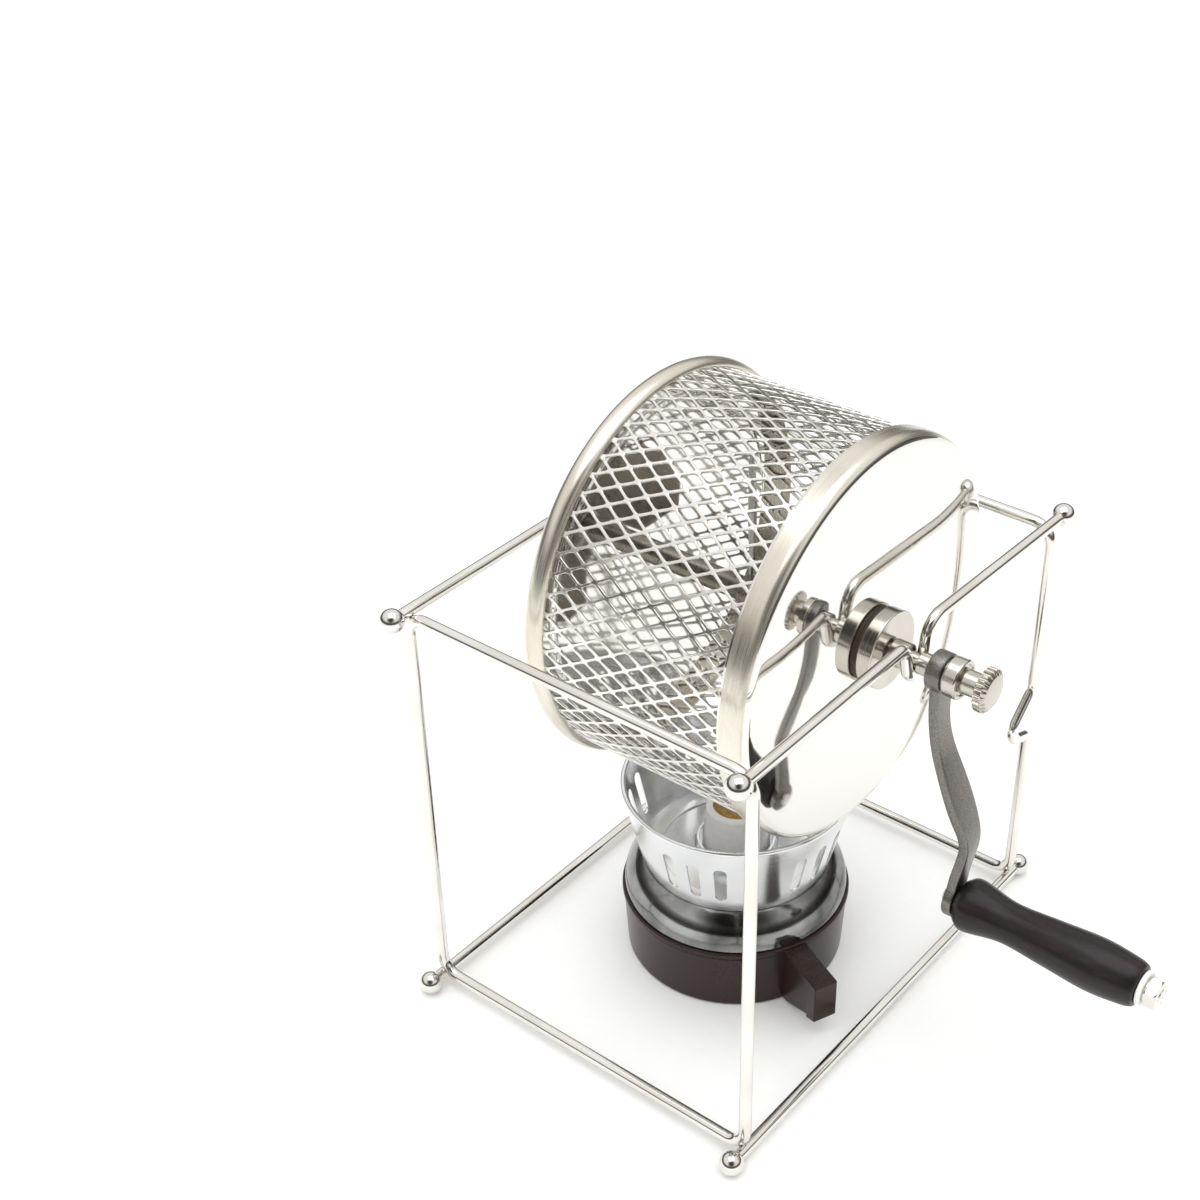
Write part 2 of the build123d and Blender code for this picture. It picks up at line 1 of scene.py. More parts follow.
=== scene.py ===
# %% [markdown]
# # A hand cranked coffee roaster
#
# A wire stand carries a mesh drum over a spirit burner. This lesson dresses
# the bare frame of the roaster piece by piece: bent wire, expanded metal,
# pressed and spun sheet, turned steel, a cast arm, lacquered wood, moulded
# plastic and glazed ceramic. Each piece is made the way its maker would make
# it, because that is where its edges and highlights come from.

# %% Load the frame
import math

import bmesh
import bpy
from mathutils import Matrix, Vector
from mathutils.geometry import interpolate_bezier


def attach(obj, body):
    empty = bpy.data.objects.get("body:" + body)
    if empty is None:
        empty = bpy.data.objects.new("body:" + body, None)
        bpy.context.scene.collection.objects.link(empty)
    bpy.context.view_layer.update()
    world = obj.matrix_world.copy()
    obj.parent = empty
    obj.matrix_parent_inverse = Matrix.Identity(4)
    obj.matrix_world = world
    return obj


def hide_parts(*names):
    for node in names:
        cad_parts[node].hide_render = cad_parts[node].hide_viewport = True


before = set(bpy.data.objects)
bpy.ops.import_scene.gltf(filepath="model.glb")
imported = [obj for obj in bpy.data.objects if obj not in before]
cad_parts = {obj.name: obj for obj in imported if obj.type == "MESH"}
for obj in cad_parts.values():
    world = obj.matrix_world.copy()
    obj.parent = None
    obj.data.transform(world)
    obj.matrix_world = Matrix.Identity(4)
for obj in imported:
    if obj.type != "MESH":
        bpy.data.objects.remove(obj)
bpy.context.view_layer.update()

# %% [markdown]
# ## Units and directions
#
# The roaster was measured in millimetres and Blender works in metres, so one
# value turns the first into the second. X runs along the drum's axle towards
# the crank, Z is up, and the user stands on the -Y side.

# %% Units
MM = 0.001
AXLE_Z, GRIP_Z = 175.0, 75.9
AXLE_R = 3.1
AXLE = Vector((0, 0, AXLE_Z)) * MM
GRIP = Vector((0, 0, GRIP_Z)) * MM
UP = Vector((0, 0, 1))
ALONG = Vector((1, 0, 0))
print("axle height", AXLE.z, "grip height", GRIP.z)

# %% [markdown]
# ## Colours
#
# Colours are picked in sRGB, as an eye reads them on a screen, and Blender
# mixes light in linear values. One function turns a hex colour to linear.


# %% Colour helper
def linear(hex_colour):
    """Linear RGBA of an sRGB colour such as '#c8c4bd'."""
    values = [int(hex_colour[i : i + 2], 16) / 255 for i in (1, 3, 5)]
    turned_linear = [v / 12.92 if v <= 0.04045 else ((v + 0.055) / 1.055) ** 2.4 for v in values]
    return (*turned_linear, 1.0)


print("mid grey in linear", linear("#808080"))

# %% [markdown]
# ## Building materials
#
# A material is a small tree of nodes. One helper adds a node with its
# settings and its links, so that each material below reads as a recipe.


# %% Node helper
def add(tree, kind, settings=None, **links):
    """Adds a node. Settings name attributes or input sockets; links name input sockets."""
    node = tree.nodes.new(kind)
    for name, value in (settings or {}).items():
        if hasattr(node, name):
            setattr(node, name, value)
        else:
            node.inputs[name.replace("_", " ")].default_value = value
    for name, socket in links.items():
        place = int(name[2:]) if name.startswith("at") else name.replace("_", " ")
        tree.links.new(socket, node.inputs[place])
    return node


def new_material(name):
    """An empty node material with its shader, its coordinates and its output."""
    material = bpy.data.materials.new(name)
    material.use_nodes = True
    tree = material.node_tree
    tree.nodes.clear()
    shader = add(tree, "ShaderNodeBsdfPrincipled")
    add(tree, "ShaderNodeOutputMaterial", Surface=shader.outputs["BSDF"])
    place = add(tree, "ShaderNodeTexCoord").outputs["Object"]
    return material, tree, shader, place


def ramp(tree, factor, stops):
    """A colour ramp from (position, hex) stops."""
    node = add(tree, "ShaderNodeValToRGB", Fac=factor)
    elements = node.color_ramp.elements
    while len(elements) < len(stops):
        elements.new(0.5)
    for element, (position, colour) in zip(elements, stops):
        element.position = position
        element.color = linear(colour)
    return node.outputs["Color"]


def paint(tree, shader, factor, stops):
    """Colours a shader by a ramp."""
    tree.links.new(ramp(tree, factor, stops), shader.inputs["Base Color"])


def noise(tree, place, size_mm, detail=3.0, **settings):
    """Noise whose features have the given size in millimetres."""
    settings |= {"Scale": 1 / (size_mm * MM), "Detail": detail}
    return add(tree, "ShaderNodeTexNoise", settings, Vector=place).outputs["Fac"]


def emboss(tree, shader, height, strength, depth_mm):
    """Gives a shader a bump from a height."""
    settings = {"Strength": strength, "Distance": depth_mm * MM}
    bump = add(tree, "ShaderNodeBump", settings, Height=height)
    tree.links.new(bump.outputs["Normal"], shader.inputs["Normal"])


print("helpers ready")

# %% [markdown]
# ## Metals
#
# Nearly all of the roaster is stainless steel. What tells its pieces apart is
# how the surface was finished: drawn through a die, rolled, brushed on a belt,
# turned on a lathe or polished on a wheel. Brushing and turning leave rings
# round the axis. Drawing, rolling and polishing leave a faint unevenness with
# no direction. So every metal here is one base colour with its own grain.


# %% Grain round an axis
def ring_grain(tree, place, centre, spacing_mm, axis="X"):
    """Noise that changes across the axis and hardly at all around it."""
    moved = add(tree, "ShaderNodeMapping", {"vector_type": "POINT"}, Vector=place)
    moved.inputs["Location"].default_value = (0, 0, -centre.z) if axis == "X" else (0, 0, 0)
    parts = add(tree, "ShaderNodeSeparateXYZ", Vector=moved.outputs["Vector"])
    across = ("Y", "Z") if axis == "X" else ("X", "Y")
    flat = add(tree, "ShaderNodeCombineXYZ", at0=parts.outputs[across[0]], at1=parts.outputs[across[1]])
    radius = add(tree, "ShaderNodeVectorMath", {"operation": "LENGTH"}, at0=flat.outputs["Vector"])
    rings = add(tree, "ShaderNodeCombineXYZ", at0=parts.outputs[axis], at1=radius.outputs["Value"])
    return noise(tree, rings.outputs["Vector"], spacing_mm, Roughness=0.65)


def steel(name, colour, low_rough, high_rough, grain, bump_mm=0.002, tarnish=None):
    """A metal whose roughness and height follow grain(tree, place)."""
    material, tree, shader, place = new_material(name)
    shader.inputs["Metallic"].default_value = 1.0
    pattern = grain(tree, place)
    rough = add(
        tree,
        "ShaderNodeMapRange",
        {"From_Min": 0.3, "From_Max": 0.7, "To_Min": low_rough, "To_Max": high_rough},
        Value=pattern,
    )
    tree.links.new(rough.outputs["Result"], shader.inputs["Roughness"])
    emboss(tree, shader, pattern, 0.6, bump_mm)
    clouds = noise(tree, place, 25.0, 4.0)
    paint(tree, shader, clouds, ((0.35, tarnish or colour), (0.65, colour)))
    return material


def fine_noise(scale_mm):
    """Grain without a direction, with the given size in millimetres."""
    return lambda tree, place: noise(tree, place, scale_mm)


# Drawn stainless wire: bright, and faintly uneven from the die.
drawn_wire = steel("drawn_stainless_wire", "#efede9", 0.07, 0.18, fine_noise(2.5), 0.004, "#e4e1db")
# Ball caps are tumbled and plated, so they mirror almost like polished sheet.
plated_ball = steel("plated_steel_ball", "#e4e2de", 0.04, 0.08, fine_noise(4.0), 0.001)
# Expanded sheet: rolled bright, then slit, so its strands are smooth and sharp.
expanded_sheet = steel("expanded_stainless_sheet", "#eceae5", 0.14, 0.28, fine_noise(1.2), 0.004)
# Belt brushed bands: rings round the drum, 0.25 mm apart as drawn here; the
# real scratches are finer than a pixel.
brushed_band = steel(
    "brushed_stainless_band", "#e8e4da", 0.20, 0.40,
    lambda tree, place: ring_grain(tree, place, AXLE, 0.25), 0.006, "#dcd6c8",
)
# Wheel polished sheet: a mirror with a slow waviness.
mirror_sheet = steel("polished_stainless_sheet", "#e9e7e3", 0.03, 0.07, fine_noise(18.0), 0.02)
# Lathe turned steel: rings about 0.3 mm apart.
turned_steel = steel(
    "turned_stainless_bar", "#cfcbc4", 0.10, 0.26,
    lambda tree, place: ring_grain(tree, place, AXLE, 0.3), 0.006, "#bab4a9",
)
# Plated fittings on the grip's spindle: turned as well, and brighter.
turned_fitting = steel(
    "turned_plated_fitting", "#dedbd5", 0.08, 0.20,
    lambda tree, place: ring_grain(tree, place, GRIP, 0.4), 0.003,
)
# Mill finish sheet inside the drum: duller, browned by heat.
mill_sheet = steel("mill_finish_stainless", "#a9a49b", 0.22, 0.40, fine_noise(3.0), 0.004, "#8f897f")
# Spun aluminium: rings round the burner's axis.
spun_aluminium = steel(
    "spun_aluminium", "#f4f5f5", 0.12, 0.24,
    lambda tree, place: ring_grain(tree, place, Vector(), 0.35, "Z"), 0.004, "#e6e8ea",
)
# Burnished dark tin: blotched grey where the coating has worn.
dark_tin = steel(
    "burnished_dark_tin", "#a2a3a3", 0.06, 0.22,
    lambda tree, place: ring_grain(tree, place, Vector(), 1.6, "Z"), 0.02, "#4c4c4b",
)
print("metals ready")

# %% [markdown]
# ## The cast arm, wood, plastic and ceramic
#
# The arm is cast and then tumbled: a dark satin grey with a fine pebbled skin.
# The grip is turned wood under a nearly black lacquer, which lets a little red
# through. The burner's base is moulded in a dark brown plastic, glossy but for
# the mould's faint texture. The wick holder is glazed ceramic.


# %% Cast steel
def cast_steel():
    """Cast, then tumbled with stones: fine pebbles under a satin polish."""
    material, tree, shader, place = new_material("tumbled_cast_steel")
    shader.inputs["Metallic"].default_value = 1.0
    pebbles = noise(tree, place, 0.5, 4.0)
    emboss(tree, shader, pebbles, 0.5, 0.05)
    paint(tree, shader, pebbles, ((0.3, "#696663"), (0.7, "#928f8c")))
    shader.inputs["Roughness"].default_value = 0.36
    return material


# %% Lacquered wood
def lacquered_wood():
    """Turned wood under a nearly black lacquer, with its grain along the grip."""
    material, tree, shader, place = new_material("lacquered_turned_wood")
    grain_way = add(tree, "ShaderNodeMapping", Vector=place)
    grain_way.inputs["Location"].default_value = (0, 0, -GRIP.z)
    grain_way.inputs["Scale"].default_value = (0.12, 1.0, 1.0)
    grain = noise(tree, grain_way.outputs["Vector"], 1.6, 5.0, Distortion=0.4)
    paint(tree, shader, grain, ((0.30, "#120c0e"), (0.55, "#1e1416"), (0.75, "#321c20")))
    emboss(tree, shader, grain, 0.35, 0.06)
    shader.inputs["Roughness"].default_value = 0.42
    shader.inputs["Specular IOR Level"].default_value = 0.3
    shader.inputs["Coat Weight"].default_value = 0.15
    shader.inputs["Coat Roughness"].default_value = 0.22
    return material


# %% Plastics, washers and ceramic
def moulded(name, low, high, rough, grit_mm, height_mm):
    """A moulded, pressed or glazed surface with a fine grit."""
    material, tree, shader, place = new_material(name)
    grit = noise(tree, place, grit_mm)
    paint(tree, shader, grit, ((0.35, low), (0.65, high)))
    emboss(tree, shader, grit, 0.3, height_mm)
    shader.inputs["Roughness"].default_value = rough
    return material, shader


arm_steel = cast_steel()
grip_wood = lacquered_wood()
# Pressed in a hot steel mould: an even gloss over a faint grit.
brown_plastic, plastic_shader = moulded(
    "moulded_brown_phenolic", "#231613", "#2b1c18", 0.26, 0.8, 0.01
)
plastic_shader.inputs["Specular IOR Level"].default_value = 0.35
# Injection moulded, so it is matt and slightly uneven.
white_nylon, _ = moulded("moulded_white_nylon", "#e6e6e2", "#f0f0ec", 0.45, 1.0, 0.02)
# Cut from pressed fibre sheet, which has no gloss.
brown_gasket, _ = moulded("brown_heat_washer", "#3b2e24", "#4b3b2e", 0.5, 0.6, 0.02)
# Dipped in glaze and fired, which leaves a clear coat.
glazed_ceramic, glaze = moulded("glazed_ceramic", "#f3f2ee", "#faf9f6", 0.25, 3.0, 0.03)
glaze.inputs["Coat Weight"].default_value = 0.6
glaze.inputs["Coat Roughness"].default_value = 0.08


# %% Wick fibre
def wick_fibre():
    """Woven glass fibre, browned by the flame: short golden strands."""
    material, tree, shader, place = new_material("woven_wick_fibre")
    strands = noise(tree, place, 0.7, 5.0, Distortion=2.0)
    paint(tree, shader, strands, ((0.32, "#6b4a22"), (0.5, "#b08645"), (0.68, "#dcbf85")))
    emboss(tree, shader, strands, 1.0, 0.4)
    shader.inputs["Roughness"].default_value = 0.85
    return material


wick_weave = wick_fibre()
print("other materials ready")

# %% [markdown]
# ## Finishing a piece
#
# Every piece ends the same way: doubled points are merged, its faces look
# outwards, and it is shaded smooth with crisp edges kept crisp. It gets its
# material, rides on a body of the frame, and stands for the frame's own plain
# solid.


# %% Finish helper
CRISP = math.radians(35)


def join(bm, other):
    """Adds another bmesh to bm."""
    scratch = bpy.data.meshes.new("scratch")
    other.to_mesh(scratch)
    other.free()
    bm.from_mesh(scratch)
    bpy.data.meshes.remove(scratch)


def everything(bm):
    """All vertices, edges and faces of a bmesh."""
    return bm.verts[:] + bm.edges[:] + bm.faces[:]


def ease(bm, geom, offset, segments, affect="EDGES"):
    """Rounds edges or corners off."""
    bmesh.ops.bevel(bm, geom=geom, offset=offset, offset_type="OFFSET", segments=segments,
                    profile=0.5, affect=affect, material=-1)


def finish(bm, name, body, materials, replaced, weighted=True):
    """Turns a bmesh into a finished piece of the roaster."""
    bmesh.ops.remove_doubles(bm, verts=bm.verts, dist=0.0005 * MM)
    bmesh.ops.recalc_face_normals(bm, faces=bm.faces)
    mesh = bpy.data.meshes.new(name)
    bm.to_mesh(mesh)
    bm.free()
    mesh.shade_smooth()
    mesh.set_sharp_from_angle(angle=CRISP)
    for material in materials if isinstance(materials, (list, tuple)) else [materials]:
        mesh.materials.append(material)
    piece = bpy.data.objects.new(name, mesh)
    bpy.context.scene.collection.objects.link(piece)
    if weighted:
        normals = piece.modifiers.new("flat_faces_stay_flat", "WEIGHTED_NORMAL")
        normals.keep_sharp = True
        normals.weight = 100
    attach(piece, body)
    if replaced:
        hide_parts(*([replaced] if isinstance(replaced, str) else replaced))
    print(name, len(mesh.polygons), "faces")
    return piece


# %% [markdown]
# ## Bent wire
#
# A bender feeds straight wire and swings it round a pin. The same two moves
# make the mesh: a ring of points is pushed straight, then spun round the
# bend's centre. A corner given by a point and a radius says where to swing.


# %% Wire helper
WIRE = 2.4 * MM
SIDE = 77.4 * MM
RING_SEGMENTS = 20
BEND_STEP = math.radians(9)


def bend_wire(corners, radii, closed=False):
    """Round wire through corners, with a bend of the given radius at each inner corner."""
    points = [Vector(c) for c in corners]
    bm = bmesh.new()
    heading = (points[1] - points[0]).normalized()
    turn_to = heading.to_track_quat("Z", "Y").to_matrix().to_4x4()
    start = bmesh.ops.create_circle(
        bm, segments=RING_SEGMENTS, radius=WIRE, cap_ends=False,
        matrix=Matrix.Translation(points[0]) @ turn_to,
    )
    ring = list({e for v in start["verts"] for e in v.link_edges})
    if not closed:
        bmesh.ops.contextual_create(bm, geom=ring)
    at = points[0]
    for corner, after, radius in zip(points[1:-1], points[2:], radii):
        away = (after - corner).normalized()
        turn = heading.angle(away)
        bend_start = corner - heading * radius * math.tan(turn / 2)
        ring = push(bm, ring, bend_start - at)
        axis = heading.cross(away).normalized()
        centre = bend_start + axis.cross(heading) * radius
        spun = bmesh.ops.spin(
            bm, geom=ring, cent=centre, axis=axis, angle=turn,
            steps=max(3, round(turn / BEND_STEP)), use_duplicate=False,
        )
        ring = [g for g in spun["geom_last"] if isinstance(g, bmesh.types.BMEdge)]
        heading = away
        at = corner + away * radius * math.tan(turn / 2)
    ring = push(bm, ring, points[-1] - at)
    if not closed:
        bmesh.ops.contextual_create(bm, geom=ring)
    return bm


def moved_verts(geometry):
    """The vertices among the geometry that an operator returned."""
    return [item for item in geometry if isinstance(item, bmesh.types.BMVert)]


def push(bm, ring, move):
    """Extrudes a ring of edges straight by move and returns the new ring."""
    out = bmesh.ops.extrude_edge_only(bm, edges=ring)["geom"]
    bmesh.ops.translate(bm, verts=moved_verts(out), vec=move)
    return [item for item in out if isinstance(item, bmesh.types.BMEdge)]


# %% The two loops
LOOP_Y = 98.2 * MM
LOOP_LOW, LOOP_HIGH = 6.4 * MM, 183.2 * MM
LOOP_CORNER = 8.2 * MM
REST_GAP = 0.05
# The bend that the axle lies in, measured to the middle of the wire.
REST = (AXLE_R + REST_GAP + 2.4) * MM
KINK_Y, KINK_Z = 80.2 * MM, 88.7 * MM
KINK_TOP, KINK_LOW = 105.7 * MM, 82.4 * MM
KINK_TOP_BEND, KINK_LOW_BEND = 9.0 * MM, 4.5 * MM

front_corners = [
    (0, -LOOP_Y, LOOP_LOW), (SIDE, -LOOP_Y, LOOP_LOW), (SIDE, -LOOP_Y, LOOP_HIGH),
    (-SIDE, -LOOP_Y, LOOP_HIGH), (-SIDE, -LOOP_Y, LOOP_LOW), (0, -LOOP_Y, LOOP_LOW),
]
finish(bend_wire(front_corners, [LOOP_CORNER] * 4, closed=True), "front_loop_wire", "stand",
       drawn_wire, "front_loop", weighted=False)


def kinked_upright(x, rising):
    """Corners and bends of a rear upright, in the order in which the wire runs."""
    stops = [
        ((x, LOOP_Y, LOOP_LOW), LOOP_CORNER),
        ((x, LOOP_Y, KINK_LOW), KINK_LOW_BEND),
        ((x, KINK_Y, KINK_Z), REST),
        ((x, LOOP_Y, KINK_TOP), KINK_TOP_BEND),
        ((x, LOOP_Y, LOOP_HIGH), LOOP_CORNER),
    ]
    return stops if rising else stops[::-1]


rear_stops = kinked_upright(SIDE, True) + kinked_upright(-SIDE, False)
rear_middle = (0, LOOP_Y, LOOP_LOW)
rear_corners = [rear_middle] + [corner for corner, _ in rear_stops] + [rear_middle]
finish(bend_wire(rear_corners, [bend for _, bend in rear_stops], closed=True), "rear_loop_wire",
       "stand", drawn_wire, "rear_loop", weighted=False)

# %% [markdown]
# ## Rods, notches and balls
#
# A rod caps each side frame at the top and at the bottom. The top rods dip in
# a narrow notch, whose bend fits the axle. The notch's two legs aim at a
# point far below, and the bend rounds that point off.

# %% The rods
ROD_END = 106.4 * MM
LOW_ROD, HIGH_ROD = 4.8 * MM, 184.8 * MM
LEG_FRONT, LEG_REAR = math.radians(76.0), math.radians(80.3)
SHOULDER_Z, SHOULDER_BEND, LIP_BEND = 188.1 * MM, 8.0 * MM, 5.3 * MM

reach = REST / math.cos((LEG_FRONT + LEG_REAR) / 2)
lean = (LEG_REAR - LEG_FRONT) / 2
notch_y = reach * math.sin(lean)
notch_z = AXLE.z - reach * math.cos(lean)
lip_y = notch_y - (HIGH_ROD - notch_z) / math.tan(LEG_FRONT)
shoulder_y = notch_y + (SHOULDER_Z - notch_z) / math.tan(LEG_REAR)

for side_name, x in (("crank_side", SIDE), ("far_side", -SIDE)):
    top = [
        (x, -ROD_END, HIGH_ROD), (x, lip_y, HIGH_ROD), (x, notch_y, notch_z),
        (x, shoulder_y, SHOULDER_Z), (x, ROD_END, HIGH_ROD),
    ]
    finish(bend_wire(top, [LIP_BEND, REST, SHOULDER_BEND]), f"{side_name}_notched_rod", "stand",
           drawn_wire, f"{side_name}_top_rod", weighted=False)
    bottom = [(x, -ROD_END, LOW_ROD), (x, ROD_END, LOW_ROD)]
    finish(bend_wire(bottom, []), f"{side_name}_low_rod", "stand",
           drawn_wire, f"{side_name}_bottom_rod", weighted=False)

# %% The balls
BALL = 4.8 * MM
for side_name, x in (("crank_side", SIDE), ("far_side", -SIDE)):
    for end_name, y in (("front", -ROD_END), ("rear", ROD_END)):
        for level, z in (("foot", LOW_ROD), ("top", HIGH_ROD)):
            bm = bmesh.new()
            bmesh.ops.create_uvsphere(
                bm, u_segments=40, v_segments=24, radius=BALL, matrix=Matrix.Translation((x, y, z))
            )
            node = f"{side_name}_{end_name}_{level}_ball"
            finish(bm, f"{side_name}_{end_name}_{level}_cap", "stand", plated_ball, node,
                   weighted=False)

# %% [markdown]
# ## Turning on the lathe
#
# Rims, shafts, collars, the lid, the grip and the whole burner are round
# about an axis. Each is drawn as half a section, its corners are eased with
# a small bevel, because no real edge is perfectly sharp, and the section is
# spun once round.


# %% Lathe helper
TO_X = Matrix(((0, 0, 1, 0), (0, 1, 0, 0), (1, 0, 0, 0), (0, 0, 0, 1)))


def turn(section, centre=AXLE, upright=False, steps=96, closed=False):
    """Spins (along, radius, easing) corners in millimetres about X, or about Z if upright."""
    bm = bmesh.new()
    verts = [bm.verts.new((radius * MM, 0, along * MM)) for along, radius, _ in section]
    pairs = list(zip(verts, verts[1:])) + ([(verts[-1], verts[0])] if closed else [])
    for a, b in pairs:
        bm.edges.new((a, b))
    for vert, (_, _, easing) in zip(verts, section):
        if easing:
            ease(bm, [vert], easing * MM, 4, "VERTICES")
    bmesh.ops.spin(
        bm, geom=bm.verts[:] + bm.edges[:], cent=(0, 0, 0), axis=UP, angle=math.tau, steps=steps,
        use_merge=True, use_duplicate=False,
    )
    place = Matrix.Translation(centre) @ (Matrix() if upright else TO_X)
    bmesh.ops.transform(bm, matrix=place, verts=bm.verts)
    return bm


def turn_up(section, steps=96, closed=True):
    """Spins a section of the burner about the Z axis, which stands on the table."""
    return turn(section, centre=Vector(), upright=True, steps=steps, closed=closed)


# %% [markdown]
# ## The mesh barrel
#
# Expanded metal starts as sheet that is slit and stretched into diamonds. The
# diamonds measure 12.4 mm along the drum by 7.7 mm around it. One diamond is
# inset to leave its strands, its corners are rounded, and it is repeated over
# the flat sheet. The sheet is then rolled and given its thickness.

# %% Expanded metal
DRUM_R = 76.9
DRUM = DRUM_R * MM
SHEET = 0.9 * MM
STRAND, CORNER_CUT = 1.3 * MM, 1.3 * MM
AROUND = 63
COLUMNS_BEHIND, COLUMNS_AHEAD = 13, 2
LAST_COLUMN_X = 43.4 * MM
LAST_COLUMN_TURN = math.radians(148.8)
DIAMOND_X = 12.4 * MM
DIAMOND_ROUND = math.tau * DRUM / AROUND
NET_FROM, NET_TO = -38.0 * MM, 52.4 * MM


def expanded_metal():
    """The net: flat in X and round the drum in Y at first, then rolled about the axle."""
    bm = bmesh.new()
    bmesh.ops.create_circle(bm, segments=4, radius=1.0, cap_ends=True)
    bmesh.ops.scale(bm, vec=(DIAMOND_X / 2, DIAMOND_ROUND / 2, 1), verts=bm.verts)
    inset = bmesh.ops.inset_individual(bm, faces=bm.faces[:], thickness=STRAND / 2)
    opening = [f for f in bm.faces if f not in inset["faces"]]
    ease(bm, opening[0].verts[:], CORNER_CUT, 3, "VERTICES")
    middle = min(bm.faces, key=lambda f: f.calc_center_median().length)
    bmesh.ops.delete(bm, geom=[middle], context="FACES_ONLY")
    cell = everything(bm)
    for k in range(1, AROUND):
        copy = bmesh.ops.duplicate(bm, geom=cell)["geom"]
        bmesh.ops.translate(bm, vec=(0, k * DIAMOND_ROUND, 0), verts=moved_verts(copy))
    ring = everything(bm)
    for k in [*range(-COLUMNS_AHEAD, 0), *range(1, COLUMNS_BEHIND + 1)]:
        copy = bmesh.ops.duplicate(bm, geom=ring)["geom"]
        shift = (-k * DIAMOND_X / 2, (k % 2) * DIAMOND_ROUND / 2, 0)
        bmesh.ops.translate(bm, vec=shift, verts=moved_verts(copy))
    bmesh.ops.translate(bm, vec=(LAST_COLUMN_X, 0, 0), verts=bm.verts)
    for edge_x, outwards in ((NET_FROM, -1), (NET_TO, 1)):
        bmesh.ops.bisect_plane(
            bm, geom=everything(bm), dist=1e-7, plane_co=(edge_x, 0, 0),
            plane_no=(outwards, 0, 0), clear_outer=True,
        )
    for vert in bm.verts:
        angle = vert.co.y / DRUM + LAST_COLUMN_TURN
        vert.co = AXLE + Vector((vert.co.x, DRUM * math.cos(angle), DRUM * math.sin(angle)))
    return bm


net = finish(expanded_metal(), "mesh_barrel_net", "drum", expanded_sheet, "mesh_barrel",
             weighted=False)
wall = net.modifiers.new("sheet_thickness", "SOLIDIFY")
wall.thickness = SHEET
wall.offset = -1.0
print("net radius", DRUM, "diamonds around", AROUND)

# %% [markdown]
# ## Rims, rear plate and mouth
#
# A half round band grips the mesh and the rear plate. At the mouth a thin
# bright band ends in a rolled bead, over which the lid's skirt slides.

# %% Rims and plate
RIM_MID, RIM_HALF, RIM_RISE = -35.4, 4.1, 3.0
RIM_PARTS = 16
rim_section = [(-39.5, DRUM_R, 0.3), (-31.3, DRUM_R, 0.3)]
for k in range(1, RIM_PARTS):
    angle = math.pi * k / RIM_PARTS
    rim_section.append((RIM_MID + RIM_HALF * math.cos(angle), DRUM_R + RIM_RISE * math.sin(angle), 0))
finish(turn(rim_section, steps=160, closed=True), "rear_rim_band", "drum", brushed_band,
       "rear_rim")

plate_section = [
    (-38.8, DRUM_R, 0), (-38.8, 66.0, 0.8), (-37.2, 64.4, 0.8), (-37.2, AXLE_R, 0),
    (-36.4, AXLE_R, 0), (-36.4, 64.4, 0.8), (-38.0, 66.0, 0.8), (-38.0, DRUM_R, 0),
]
finish(turn(plate_section, steps=128, closed=True), "rear_plate_sheet", "drum", mirror_sheet,
       "rear_end_plate")

BAND_R = 77.4
BEAD_X, BEAD_MID_R = 53.35, 76.45
BEAD_HALF_LONG, BEAD_HALF_HIGH = 0.95, 0.9
BEAD_START, BEAD_PARTS = 2.2, 18
mouth_section = [(46.6, DRUM_R, 0), (46.6, BAND_R, 0.2), (52.6, BAND_R, 0.2)]
for k in range(-5, 12):
    angle = math.tau * k / BEAD_PARTS + BEAD_START
    mouth_section.append(
        (BEAD_X - BEAD_HALF_LONG * math.cos(angle), BEAD_MID_R + BEAD_HALF_HIGH * math.sin(angle), 0)
    )
mouth_section.append((52.5, DRUM_R, 0))
finish(turn(mouth_section, steps=128, closed=True), "mouth_band", "drum", mirror_sheet,
       "mouth_ring")

# %% [markdown]
# ## Inside the drum
#
# Through the mesh one sees the axle, two collars with paddles and the tubes
# that keep them apart. Paddles are flat blanks, sheared with a narrow neck and
# two cut corners, then turned to their pitch and welded to a collar.

# %% Axle and collars
EDGE = 0.35
REAR_COLLAR, FRONT_COLLAR, COLLAR_LENGTH = 2.0, 22.0, 5.0


def bar(start, end, radius, bore=0.0, edge=EDGE):
    """Corners of a plain turned bar or tube along X."""
    return [(start, bore, 0), (start, radius, edge), (end, radius, edge), (end, bore, 0)]


finish(turn(bar(-84, 52, AXLE_R, edge=0.5), steps=40), "drum_axle_bar", "drum", turned_steel,
       "drum_axle")
finish(turn(bar(-36.4, REAR_COLLAR, 4.75, AXLE_R), steps=48, closed=True), "rear_sleeve_tube", "drum",
       mill_sheet, "rear_axle_sleeve")
finish(turn(bar(REAR_COLLAR + COLLAR_LENGTH, FRONT_COLLAR, 4.25, AXLE_R), steps=48, closed=True),
       "spacer_tube", "drum", mill_sheet, "axle_spacer")
for place_name, start in (("rear", REAR_COLLAR), ("front", FRONT_COLLAR)):
    finish(turn(bar(start, start + COLLAR_LENGTH, 6.2, AXLE_R), steps=48, closed=True),
           f"{place_name}_collar_ring", "drum", turned_steel,
           f"{place_name}_paddle_collar")

# %% Paddles
PADDLE_HALF_OUTLINE = ((5.8, 4.5), (13, 4.5), (24, 15), (48, 15), (56, 7))
PADDLE_T = 1.0
PADDLE_PITCH = math.radians(50)


